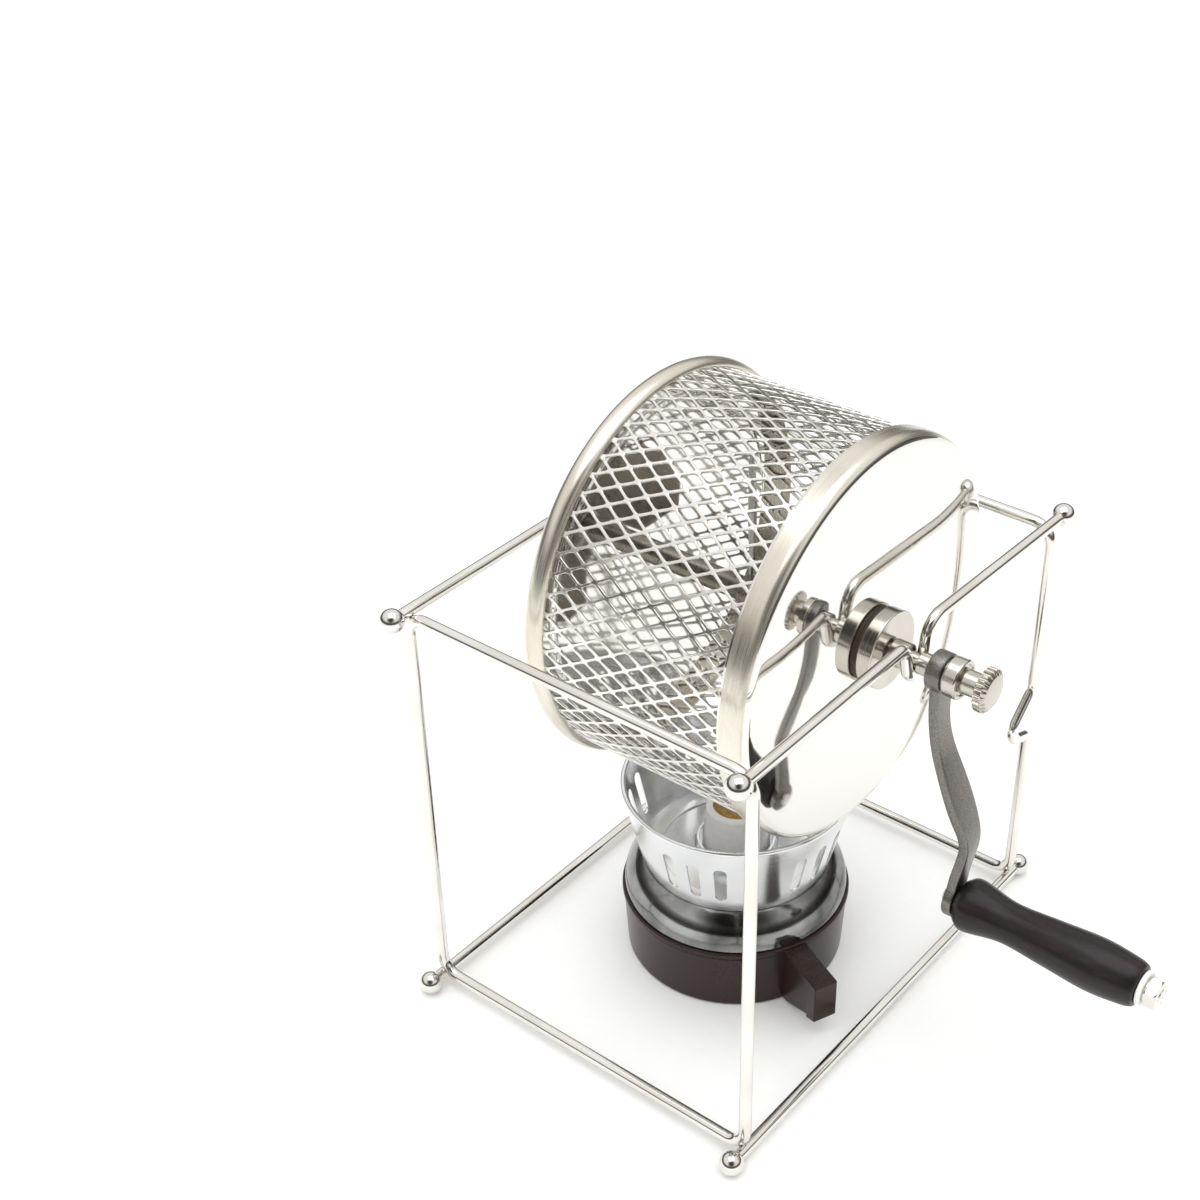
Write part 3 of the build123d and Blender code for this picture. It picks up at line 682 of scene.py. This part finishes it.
def paddle_blade(start, turn_deg, hand):
    """A blade on the collar that begins at start, at an angle round the axle; hand is 1 or -1."""
    bm = bmesh.new()
    corners = [*PADDLE_HALF_OUTLINE, *((x, -y) for x, y in PADDLE_HALF_OUTLINE[::-1])]
    face = bm.faces.new([bm.verts.new((x * MM, y * MM, -PADDLE_T / 2 * MM)) for x, y in corners])
    top = bmesh.ops.extrude_face_region(bm, geom=[face])["geom"]
    bmesh.ops.translate(bm, vec=(0, 0, PADDLE_T * MM), verts=moved_verts(top))
    ease(bm, bm.edges[:], 0.2 * MM, 2)
    angle, pitch = math.radians(turn_deg), PADDLE_PITCH * hand
    outward = Vector((0, math.cos(angle), math.sin(angle)))
    sideways = Vector((0, -math.sin(angle), math.cos(angle)))
    across = ALONG * math.cos(pitch) + sideways * math.sin(pitch)
    columns = Matrix((outward, across, outward.cross(across))).transposed().to_4x4()
    root = AXLE + ALONG * (start + COLLAR_LENGTH / 2) * MM
    bmesh.ops.transform(bm, matrix=Matrix.Translation(root) @ columns, verts=bm.verts)
    return bm


for node, start, turn_deg, hand in (
    ("rear_paddle_up", REAR_COLLAR, 90, 1), ("rear_paddle_right", REAR_COLLAR, 0, 1),
    ("front_paddle_left", FRONT_COLLAR, 180, -1), ("front_paddle_down", FRONT_COLLAR, 270, -1),
):
    finish(paddle_blade(start, turn_deg, hand), f"{node}_blade", "drum", mill_sheet, node)

# %% [markdown]
# ## Lid, hub and crank shaft
#
# The lid is pressed from sheet: a skirt that slides over the mouth, a round edge
# and a face that is flat in its middle, falls a little towards its edge and is
# polished to a mirror. Only the skirt and the start of the edge keep the
# brushing, so the lid has two materials. A heat resistant washer parts it from
# the turned hub, into which the stepped shaft is pressed.

# %% Lid
LID_FACE, LID_SKIRT = 60.2, 48.2
LID_R, LID_T = 78.6, 0.7
ROUND, ROUND_X = 4.6, 54.08
ROUND_PARTS, ROUND_STEP_DEG = 12, 6.9
DOME_FROM, DOME_FALL = 45.0, 1.5
DOME_PARTS, DOME_STEP = 11, 2.5
BRUSHED_FROM = 76.9


def lid_skin(sunk):
    """One skin of the lid, sunk below the outer one, from the skirt's rim to the axle's hole."""
    round_r = LID_R - ROUND
    rim = [
        (ROUND_X + (ROUND - sunk) * math.cos(a), round_r + (ROUND - sunk) * math.sin(a), 0)
        for a in (math.radians(90 - ROUND_STEP_DEG * k) for k in range(ROUND_PARTS + 1))
    ]
    dome = [
        (LID_FACE - sunk - DOME_FALL * ((r - DOME_FROM) / (round_r - DOME_FROM)) ** 2, r, 0)
        for r in (DOME_FROM + DOME_STEP * k for k in range(DOME_PARTS, -1, -1))
    ]
    return [(LID_SKIRT, LID_R - sunk, 0.2)] + rim + dome + [(LID_FACE - sunk, AXLE_R, 0)]


lid_section = lid_skin(0) + lid_skin(LID_T)[::-1]
lid_mesh = turn(lid_section, steps=192, closed=True)
for lid_face in lid_mesh.faces:
    from_axle = (lid_face.calc_center_median() - AXLE).yz.length
    lid_face.material_index = 0 if from_axle > BRUSHED_FROM * MM else 1
finish(lid_mesh, "lid_pressing", "crankset", [brushed_band, mirror_sheet], "lid")
finish(turn(bar(28, LID_FACE - LID_T, 4.0, 3.15), steps=48, closed=True), "guide_tube", "crankset",
       turned_steel, "lid_guide_tube")

# %% Washer and hub
SEAL, HUB, HUB_R = 61.8, 67.6, 15.2
finish(turn(bar(LID_FACE, SEAL, HUB_R - 1, AXLE_R, 0.2), closed=True), "heat_washer", "crankset",
       brown_gasket, "lid_washer")
finish(turn(bar(SEAL, HUB, HUB_R, AXLE_R, 0.5), steps=128, closed=True), "hub_turning", "crankset",
       turned_steel, "hub_disc")

# %% Crank shaft
EYE_BORE = 3.9
shaft_section = [
    (LID_FACE - LID_T, 0, 0), (LID_FACE - LID_T, AXLE_R, 0), (68.4, AXLE_R, 0.2), (68.4, 5.2, 0.4),
    (74.85, 5.2, 0.4), (74.85, AXLE_R, 0.2), (79.9, AXLE_R, 0.2), (79.9, 4.3, 0.3), (85.3, 4.3, 0.3),
    (85.3, EYE_BORE, 0), (91.4, EYE_BORE, 0.2), (91.4, 0, 0),
]
finish(turn(shaft_section, steps=64), "shaft_turning", "crankset", turned_steel, "crank_shaft")

# %% [markdown]
# ## The crank arm
#
# A casting: a flat bar that swells in its middle, with an eye at each end,
# bent like a shallow S so that the grip clears the stand. It is drawn flat,
# gets its thickness and rounded edges, is cut into short lengths and then bent
# along the S. Cast edges are soft, so the bevel is wide.

# %% Arm
ARM_T = 4.2
EYE = 7.6
EYE_HEIGHTS = (AXLE_Z, GRIP_Z)
EYE_PARTS = 24
CAST_ROUNDING = 0.9
BEND_FROM, BEND_TO, BEND_PITCH = 164.0, 86.0, 1.5
LINE_PARTS = 8
ARM_WIDTHS = ((AXLE_Z, 5.4), (154.0, 4.7), (122.0, 6.8), (97.0, 4.2), (81.9, 4.7), (60.0, 5.0))
ARM_BENDS = (((88.8, 149.0), 60.0), ((107.4, 106.5), 20.0), ((103.2, 84.0), 60.0))


def between(points, at):
    """Smooth value at a height, through (height, value) points in falling order."""
    for (high, top), (low, bottom) in zip(points, points[1:]):
        if at >= low:
            share = (high - at) / (high - low)
            return top + (bottom - top) * share * share * (3 - 2 * share)
    return points[-1][1]


def arm_half_width(z):
    """Half the width of the arm's outline at height z, eyes included."""
    half = between(ARM_WIDTHS, min(z, AXLE_Z)) if GRIP_Z < z < AXLE_Z else 0.0
    for eye_z in EYE_HEIGHTS:
        if abs(z - eye_z) < EYE:
            half = max(half, math.sqrt(EYE**2 - (z - eye_z) ** 2))
    return half


def arm_line():
    """Points of the S-shaped middle line: straight runs joined by smooth bends."""
    stops = [Vector((88.8, 190.0))] + [Vector(p) for p, _ in ARM_BENDS] + [Vector((103.2, 60.0))]
    line = [stops[0]]
    for before, corner, after, (_, radius) in zip(stops, stops[1:], stops[2:], ARM_BENDS):
        come, go = (corner - before).normalized(), (after - corner).normalized()
        turn_angle = come.angle(go)
        reach_back = radius * math.tan(turn_angle / 2)
        start, end = corner - come * reach_back, corner + go * reach_back
        for k in range(LINE_PARTS + 1):
            t = k / LINE_PARTS
            line.append(start * (1 - t) ** 2 + corner * 2 * t * (1 - t) + end * t**2)
    return line + [stops[-1]]


def on_line(line, z):
    """The place at height z on a falling line."""
    for a, b in zip(line, line[1:]):
        if a.y >= z >= b.y:
            return a.lerp(b, (a.y - z) / (a.y - b.y))
    return line[-1]


def crank_arm():
    """The arm with its eyes, bent along its line, and the boss round the shaft."""
    heights = []
    for eye_z in EYE_HEIGHTS:
        heights += [eye_z + EYE * math.cos(math.pi * k / EYE_PARTS) for k in range(EYE_PARTS + 1)]
    # Between the eyes the outline has a corner every 2 mm.
    heights += [160.0 - 2.0 * k for k in range(38)]
    heights = sorted({round(z, 3) for z in heights}, reverse=True)
    edge_of = [(arm_half_width(z), z) for z in heights]
    outline = edge_of + [(-y, z) for y, z in reversed(edge_of[1:-1])]
    bm = bmesh.new()
    face = bm.faces.new([bm.verts.new((-ARM_T / 2 * MM, y * MM, z * MM)) for y, z in outline])
    out = bmesh.ops.extrude_face_region(bm, geom=[face])["geom"]
    bmesh.ops.translate(bm, vec=(ARM_T * MM, 0, 0), verts=moved_verts(out))
    rims = [e for e in bm.edges if abs(e.verts[0].co.x - e.verts[1].co.x) < 1e-6]
    ease(bm, rims, CAST_ROUNDING * MM, 3)
    z = BEND_FROM
    while z > BEND_TO:
        bmesh.ops.bisect_plane(bm, geom=everything(bm), dist=1e-7, plane_co=(0, 0, z * MM),
                               plane_no=(0, 0, 1))
        z -= BEND_PITCH
    line = arm_line()
    for vert in bm.verts:
        z, off = vert.co.z / MM, vert.co.x / MM
        way = (on_line(line, z - 0.5) - on_line(line, z + 0.5)).normalized()
        place = on_line(line, z) + Vector((-way.y, way.x)) * off
        vert.co = (place.x * MM, vert.co.y, place.y * MM)
    boss = [(85.3, EYE_BORE, 0), (85.3, EYE, 0.7), (91.4, EYE, 0.7), (91.4, EYE_BORE, 0)]
    join(bm, turn(boss, steps=64, closed=True))
    return bm


finish(crank_arm(), "crank_arm_casting", "crankset", arm_steel, "crank_arm", weighted=False)

# %% [markdown]
# ## Clamping collar and thumbscrew
#
# Both are turned from bar. The collar is recessed in front. The screw's head
# is knurled with straight flutes: it is turned as a plain knob first, and its
# rim is then pressed in wherever a flute runs.

# %% Collar and screw
collar_section = [
    (91.5, 2.56, 0), (91.5, 6.4, 0.2), (92.4, 6.4, 0), (92.4, 7.7, 0.6), (98.0, 7.7, 0.9),
    (98.0, 6.2, 0.3), (97.2, 5.6, 0.3), (97.2, 2.56, 0),
]
finish(turn(collar_section, closed=True), "clamp_collar_turning", "arm_clamp", turned_steel,
       "clamp_collar")

KNOB = 8.6
FLUTES, FLUTE_R = 24, 0.85
FLUTED_FROM = 7.2
screw_section = [
    (82.0, 0, 0), (82.0, 2.5, 0.5), (97.3, 2.5, 0), (97.3, 4.8, 0.3), (105.4, 4.8, 0.2),
    (105.4, KNOB, 0.5), (108.2, KNOB, 0.3), (109.9, 6.2, 0.4), (110.2, 0, 0),
]
screw = turn(screw_section, steps=FLUTES * 12)
for vert in screw.verts:
    out_from_axis = (vert.co - AXLE).yz
    radius = out_from_axis.length / MM
    if radius > FLUTED_FROM:
        step = math.tau / FLUTES
        angle = math.atan2(out_from_axis.y, out_from_axis.x)
        aside = abs((angle + step / 2) % step - step / 2) * KNOB
        if aside < FLUTE_R:
            floor_r = KNOB - math.sqrt(FLUTE_R**2 - aside**2)
            pressed = min(radius, floor_r) / radius
            vert.co.y = AXLE.y + out_from_axis.x * pressed
            vert.co.z = AXLE.z + out_from_axis.y * pressed
finish(screw, "thumbscrew_turning", "clamp_screw", turned_steel, "thumbscrew")

# %% [markdown]
# ## The grip
#
# Turned from a dark hardwood: a shoulder at the arm, a waist for the fingers
# and a belly for the palm. The few outline points are joined smoothly.


# %% Smooth outline
def smooth_through(points, steps):
    """Points on a smooth line through (along, radius) points."""
    knots = [Vector((x, r, 0)) for x, r in points]
    line = [knots[0]]
    for k, (a, b) in enumerate(zip(knots, knots[1:])):
        slope_a = (b - knots[k - 1]) / 6 if k else (b - a) / 3
        slope_b = (knots[k + 2] - a) / 6 if k + 2 < len(knots) else (b - a) / 3
        line += interpolate_bezier(a, a + slope_a, b - slope_b, b, steps)[1:]
    return [(p.x, p.y, 0) for p in line]


grip_points = ((106.0, 7.4), (107.2, 9.1), (111.5, 10.65), (126.5, 8.2), (144.0, 9.2), (162.0, 10.4),
               (175.0, 9.5), (180.0, 8.4), (181.0, 6.9))
grip_section = [(106.0, 2.56, 0)] + smooth_through(grip_points, 10) + [(181.0, 2.56, 0)]
finish(turn(grip_section, centre=GRIP, closed=True), "grip_turning", "handle", grip_wood,
       "grip", weighted=False)

# %% Spindle, washer and nut
SPINDLE_R = 2.5
spindle_section = [
    (99.1, 0, 0), (99.1, 3.25, 0.7), (101.1, 3.25, 0.2), (101.1, SPINDLE_R, 0),
    (189.2, SPINDLE_R, 0.5), (189.2, 0, 0),
]
finish(turn(spindle_section, centre=GRIP, steps=48), "grip_spindle_bar", "crankset", turned_fitting,
       "grip_spindle")
washer_section = bar(181.3, 183.3, 6.8, SPINDLE_R, 0.5)
finish(turn(washer_section, centre=GRIP, steps=64, closed=True), "nylon_washer_ring", "crankset",
       white_nylon, "nylon_washer")

NUT_HALF_FLATS, NUT_CORNER = 5.5, 6.36
HEXAGON_FROM = 5.2
nut_section = [(183.3, SPINDLE_R, 0), (183.3, 5.0, 0.1), (184.6, 5.0, 0), (184.6, NUT_CORNER, 0)]
nut_section += [(187.9 + 0.1 * k, NUT_CORNER - 0.09 * k, 0) for k in range(9)]
nut_section += [(188.8, 5.4, 0), (188.8, SPINDLE_R, 0)]
nut = turn(nut_section, centre=GRIP, steps=144, closed=True)
for vert in nut.verts:
    out_from_axis = (vert.co - GRIP).yz
    radius = out_from_axis.length / MM
    if radius > HEXAGON_FROM:
        angle = math.atan2(out_from_axis.y, out_from_axis.x)
        off_flat = (angle + math.pi / 6) % (math.pi / 3) - math.pi / 6
        pressed = min(radius, NUT_HALF_FLATS / math.cos(off_flat)) / radius
        vert.co.y = GRIP.y + out_from_axis.x * pressed
        vert.co.z = GRIP.z + out_from_axis.y * pressed
finish(nut, "hex_nut", "crankset", turned_fitting, "end_nut", weighted=False)

# %% [markdown]
# ## The spirit burner
#
# From the table up: a moulded base with a tab to hold it by, a pressed tin
# tank, a spun aluminium screen with slots that let air in, a metal collar, a
# glazed holder and the wick.

# %% Base
base_section = [
    (0, 0, 0), (0, 44.5, 0.3), (1.0, 45.5, 0.6), (26.9, 47.0, 0.2), (27.2, 46.6, 0.1),
    (27.6, 46.6, 0.1), (27.8, 47.6, 0.2), (30.1, 47.6, 0.7), (30.1, 45.2, 0.4), (2.6, 42.9, 1.5),
    (2.6, 0, 0),
]
base_mesh = turn_up(base_section, steps=160, closed=False)
TAB_TURN = math.radians(-23)


def tab(corners, half_width, easing):
    """A moulded block: a side outline of (out, up) corners, given its width and soft edges."""
    bm = bmesh.new()
    face = bm.faces.new([bm.verts.new((x * MM, -half_width * MM, z * MM)) for x, z in corners])
    out = bmesh.ops.extrude_face_region(bm, geom=[face])["geom"]
    bmesh.ops.translate(bm, vec=(0, 2 * half_width * MM, 0), verts=moved_verts(out))
    ease(bm, bm.edges[:], easing * MM, 3)
    bmesh.ops.rotate(bm, cent=(0, 0, 0), matrix=Matrix.Rotation(TAB_TURN, 3, "Z"), verts=bm.verts)
    return bm


# The tab's web is narrower than its top rib and its end block, so its side
# looks recessed.
web = tab([(42.5, 2.0), (49.5, 2.0), (66.0, 8.6), (66.0, 28.0), (43.5, 28.6)], 4.3, 0.4)
top_rib = tab([(44.5, 26.0), (66.0, 25.4), (66.0, 27.9), (44.5, 29.3)], 5.25, 0.5)
end_block = tab([(65.0, 7.6), (71.0, 9.6), (71.0, 27.8), (65.0, 28.0)], 5.25, 0.6)
for block in (web, top_rib, end_block):
    join(base_mesh, block)
finish(base_mesh, "burner_base_moulding", "burner", brown_plastic, "burner_base")

# %% Tank
SHOULDER_FROM, SHOULDER_VIA = Vector((31.0, 46.5)), Vector((40.2, 44.3))
SHOULDER_TO = Vector((46.5, 38.4))
BRIGHT_TOP_R = 31.0


def arc_through(start, via, end, steps):
    """(along, radius) points on the circle through three of them."""
    ab, ac = via - start, end - start
    cross = 2 * (ab.x * ac.y - ab.y * ac.x)
    centre = start + Vector((
        ac.y * ab.length_squared - ab.y * ac.length_squared,
        ab.x * ac.length_squared - ac.x * ab.length_squared,
    )) / cross
    sweep = (start - centre).angle_signed(end - centre)
    arm = start - centre
    points = []
    for k in range(steps + 1):
        turned_arm = arm.copy()
        turned_arm.rotate(Matrix.Rotation(-sweep * k / steps, 2))
        points.append((*(centre + turned_arm), 0))
    return points


shoulder = arc_through(SHOULDER_FROM, SHOULDER_VIA, SHOULDER_TO, 14)
tank_section = [(3.0, 0, 0), (3.0, 41.9, 1.0), (30.1, 41.9, 0), (30.1, 46.5, 0.2)] + shoulder
tank_section += [(46.5, 31.0, 0), (46.5, 15.2, 0), (45.6, 15.2, 0), (45.6, 37.5, 0)]
tank_section += [(31.5, 41.0, 0), (3.9, 41.0, 0), (3.9, 0, 0)]
tank_mesh = turn_up(tank_section, steps=160, closed=False)
# The flat top inside the screen's foot is still bright. The shoulder went dark.
for tank_face in tank_mesh.faces:
    middle = tank_face.calc_center_median()
    on_top = middle.z > 46.4 * MM and middle.xy.length < BRIGHT_TOP_R * MM
    tank_face.material_index = 1 if on_top else 0
finish(tank_mesh, "spirit_tank_pressing", "burner", [dark_tin, spun_aluminium], "spirit_tank",
       weighted=False)
print("tank shoulder ends at radius", shoulder[-1][1])

# %% [markdown]
# ## The wind screen
#
# The screen is a cone of thin sheet. Its slots fall in five groups of three.
# A grid round the cone, with columns on the slots' edges, is enough: its rows
# bend round the slots' ends and the faces inside the slots are left out.

# %% Wind screen
SCREEN_LOW, SCREEN_HIGH = (39.2, 46.6), (47.6, 82.5)
SLOT_LEN, SLOT_HALF_W, SLOT_MID_Z = 20.0, 2.5, 62.9
SLOT_PITCH, GROUP_FROM, GROUP_STEP = 14.5, -76.5, 72.0
SCREEN_T = 0.8
ROLL_R, ROLL_PARTS = 1.1, 14
slot_mid_r = SCREEN_LOW[0] + (SCREEN_HIGH[0] - SCREEN_LOW[0]) * (SLOT_MID_Z - SCREEN_LOW[1]) / (
    SCREEN_HIGH[1] - SCREEN_LOW[1]
)


def screen_columns():
    """The grid's columns once round.

    Each is (angle in degrees, rise of the slot's end there, True where the strip before it lies
    in a slot).
    """
    columns = []
    for group in range(5):
        for step in (-1, 0, 1):
            middle = GROUP_FROM + GROUP_STEP * group + SLOT_PITCH * step
            for k in range(9):
                aside = -SLOT_HALF_W * math.cos(math.pi * k / 8)
                rise = math.sqrt(max(SLOT_HALF_W**2 - aside**2, 0))
                columns.append((middle + math.degrees(aside / slot_mid_r), rise, 0 < k))
            gap_after = SLOT_PITCH if step < 1 else GROUP_STEP - 2 * SLOT_PITCH
            width = gap_after - 2 * math.degrees(SLOT_HALF_W / slot_mid_r)
            parts = max(1, round(width / 3.5))
            edge = columns[-1][0]
            columns += [(edge + width * j / parts, 0.0, False) for j in range(1, parts)]
    return columns


def wind_screen():
    """The slotted cone with its foot and its rolled rim."""
    columns = screen_columns()
    count = len(columns)
    bm = bmesh.new()
    rows = []
    for row in range(8):
        ring = []
        for angle_deg, rise, _ in columns:
            half_slot = SLOT_LEN / 2 - SLOT_HALF_W + rise
            z = (SCREEN_LOW[1], SCREEN_LOW[1] + 2, SLOT_MID_Z - half_slot, SLOT_MID_Z - half_slot * 0.4,
                 SLOT_MID_Z + half_slot * 0.4, SLOT_MID_Z + half_slot, 76.0, SCREEN_HIGH[1])[row]
            share = (z - SCREEN_LOW[1]) / (SCREEN_HIGH[1] - SCREEN_LOW[1])
            radius = SCREEN_LOW[0] + (SCREEN_HIGH[0] - SCREEN_LOW[0]) * share
            angle = math.radians(angle_deg)
            x, y = radius * math.cos(angle) * MM, radius * math.sin(angle) * MM
            ring.append(bm.verts.new((x, y, z * MM)))
        rows.append(ring)
    for row, (low, high) in enumerate(zip(rows, rows[1:])):
        for k in range(count):
            after = (k + 1) % count
            if row in (2, 3, 4) and columns[after][2]:
                continue
            bm.faces.new((low[k], low[after], high[after], high[k]))
    bmesh.ops.recalc_face_normals(bm, faces=bm.faces)
    bmesh.ops.solidify(bm, geom=bm.faces[:], thickness=SCREEN_T * MM)
    foot = [(46.6, 31.0, 0.2), (46.6, 39.2, 0.2), (47.4, 38.6, 0.2), (47.4, 31.0, 0.2)]
    join(bm, turn_up(foot, steps=160))
    roll = []
    for k in range(ROLL_PARTS):
        angle = math.tau * k / ROLL_PARTS
        roll.append((82.5 + ROLL_R * math.sin(angle), 46.5 + ROLL_R * math.cos(angle), 0))
    join(bm, turn_up(roll, steps=160))
    return bm


finish(wind_screen(), "wind_screen_spinning", "screen", spun_aluminium, "wind_screen",
       weighted=False)

# %% Collar, holder and wick
collar_out = [
    (46.5, 13.6, 0), (46.5, 18.4, 0.2), (47.7, 18.4, 0.3), (48.7, 17.2, 0.3), (53.0, 16.5, 0.3),
    (53.0, 15.3, 0.2), (47.7, 15.3, 0), (47.7, 13.6, 0),
]
finish(turn_up(collar_out), "wick_collar_pressing", "burner", spun_aluminium, "wick_collar")
holder_section = [
    (30.0, 9.7, 0.4), (30.0, 13.2, 0.6), (48.0, 13.2, 0), (48.0, 14.2, 0.6), (70.1, 12.7, 1.3),
    (70.1, 9.7, 0.9),
]
finish(turn_up(holder_section), "wick_holder_glazed", "wick_unit", glazed_ceramic, "wick_holder")
WICK_TOP, WICK_CROWN, CROWN_PARTS = 67.6, 0.9, 8
wick_section = [(14.0, 0, 0), (14.0, 9.7, 1.0), (WICK_TOP, 9.7, 0.8)]
for k in range(CROWN_PARTS + 1):
    rise = WICK_CROWN * math.sin(math.pi / 2 * k / CROWN_PARTS)
    wick_section.append((WICK_TOP + rise, 9.2 * (1 - k / CROWN_PARTS), 0))
finish(turn_up(wick_section, steps=64, closed=False), "wick_weave", "wick_unit", wick_weave,
       "wick")

# %% [markdown]
# ## Floor, light and camera
#
# The roaster stands on white paper under a large soft light. Polished wire
# looks like wire only when it has something dark to mirror. So in reflections
# the surround is white high up, grey from a little above the horizon down,
# and dark where the photographer stands. Everything else sees plain white.

# %% Floor
bm = bmesh.new()
bmesh.ops.create_grid(bm, x_segments=1, y_segments=1, size=3.0)
floor_mesh = bpy.data.meshes.new("paper_floor")
bm.to_mesh(floor_mesh)
bm.free()
paper, paper_tree, paper_shader, paper_place = new_material("white_paper")
paper_fibre = add(paper_tree, "ShaderNodeTexNoise", {"Scale": 300.0}, Vector=paper_place)
paint(paper_tree, paper_shader, paper_fibre.outputs["Fac"], ((0.3, "#fbfbf9"), (0.7, "#fdfdfb")))
paper_shader.inputs["Roughness"].default_value = 0.9
paper_shader.inputs["Specular IOR Level"].default_value = 0.2
floor_mesh.materials.append(paper)
floor = bpy.data.objects.new("paper_floor", floor_mesh)
bpy.context.scene.collection.objects.link(floor)

# %% Surround
world = bpy.data.worlds.new("studio")
bpy.context.scene.world = world
world.use_nodes = True
tree = world.node_tree
tree.nodes.clear()
way = add(tree, "ShaderNodeTexCoord").outputs["Generated"]
parts = add(tree, "ShaderNodeSeparateXYZ", Vector=way)
by_height = ramp(tree, parts.outputs["Z"], (
    (0.0, "#6a6763"), (0.14, "#4a4846"), (0.30, "#94918b"), (0.42, "#f4f2ee"), (1.0, "#ffffff")))
# The studio behind the photographer is unlit.
FROM_PHOTOGRAPHER = Vector((0.43, -0.60, 0.67))
facing = add(tree, "ShaderNodeVectorMath", {"operation": "DOT_PRODUCT"}, at0=way)
facing.inputs[1].default_value = FROM_PHOTOGRAPHER.normalized()
behind = add(tree, "ShaderNodeMapRange", {"From_Min": 0.80, "From_Max": 0.97},
             Value=facing.outputs["Value"])
surround = add(tree, "ShaderNodeMixRGB", Fac=behind.outputs["Result"], Color1=by_height)
surround.inputs["Color2"].default_value = linear("#4a4845")
seen = add(tree, "ShaderNodeLightPath")
mirrored = add(tree, "ShaderNodeBackground", Color=surround.outputs["Color"])
plain = add(tree, "ShaderNodeBackground")
plain.inputs["Color"].default_value = (1, 1, 1, 1)
plain.inputs["Strength"].default_value = 1.1
chosen = add(tree, "ShaderNodeMixShader", at0=seen.outputs["Is Glossy Ray"],
             at1=plain.outputs["Background"], at2=mirrored.outputs["Background"])
add(tree, "ShaderNodeOutputWorld", Surface=chosen.outputs["Shader"])


# %% Soft light
def soft_light(name, place, aim, size, power):
    light = bpy.data.lights.new(name, "AREA")
    light.shape = "RECTANGLE"
    light.size, light.size_y = size
    light.energy = power
    holder = bpy.data.objects.new(name, light)
    holder.location = place
    holder.rotation_euler = (Vector(aim) - Vector(place)).to_track_quat("-Z", "Y").to_euler()
    bpy.context.scene.collection.objects.link(holder)


soft_light("overhead_softbox", (0.1, -0.1, 1.3), (0, 0, 0.1), (1.2, 1.0), 6.0)

# %% Camera
camera_data = bpy.data.cameras.new("camera")
camera_data.sensor_width = 36.0
camera_data.lens = 57.716
camera_data.shift_x = -0.0673
camera_data.shift_y = 0.0568
camera_data.clip_start = 0.01
camera = bpy.data.objects.new("camera", camera_data)
camera.location = Vector((356.89, -493.94, 571.33)) * MM
camera.rotation_euler = [math.radians(a) for a in (54.559, 0.152, 37.886)]
bpy.context.scene.collection.objects.link(camera)
bpy.context.scene.camera = camera
bpy.context.scene.view_settings.view_transform = "Standard"
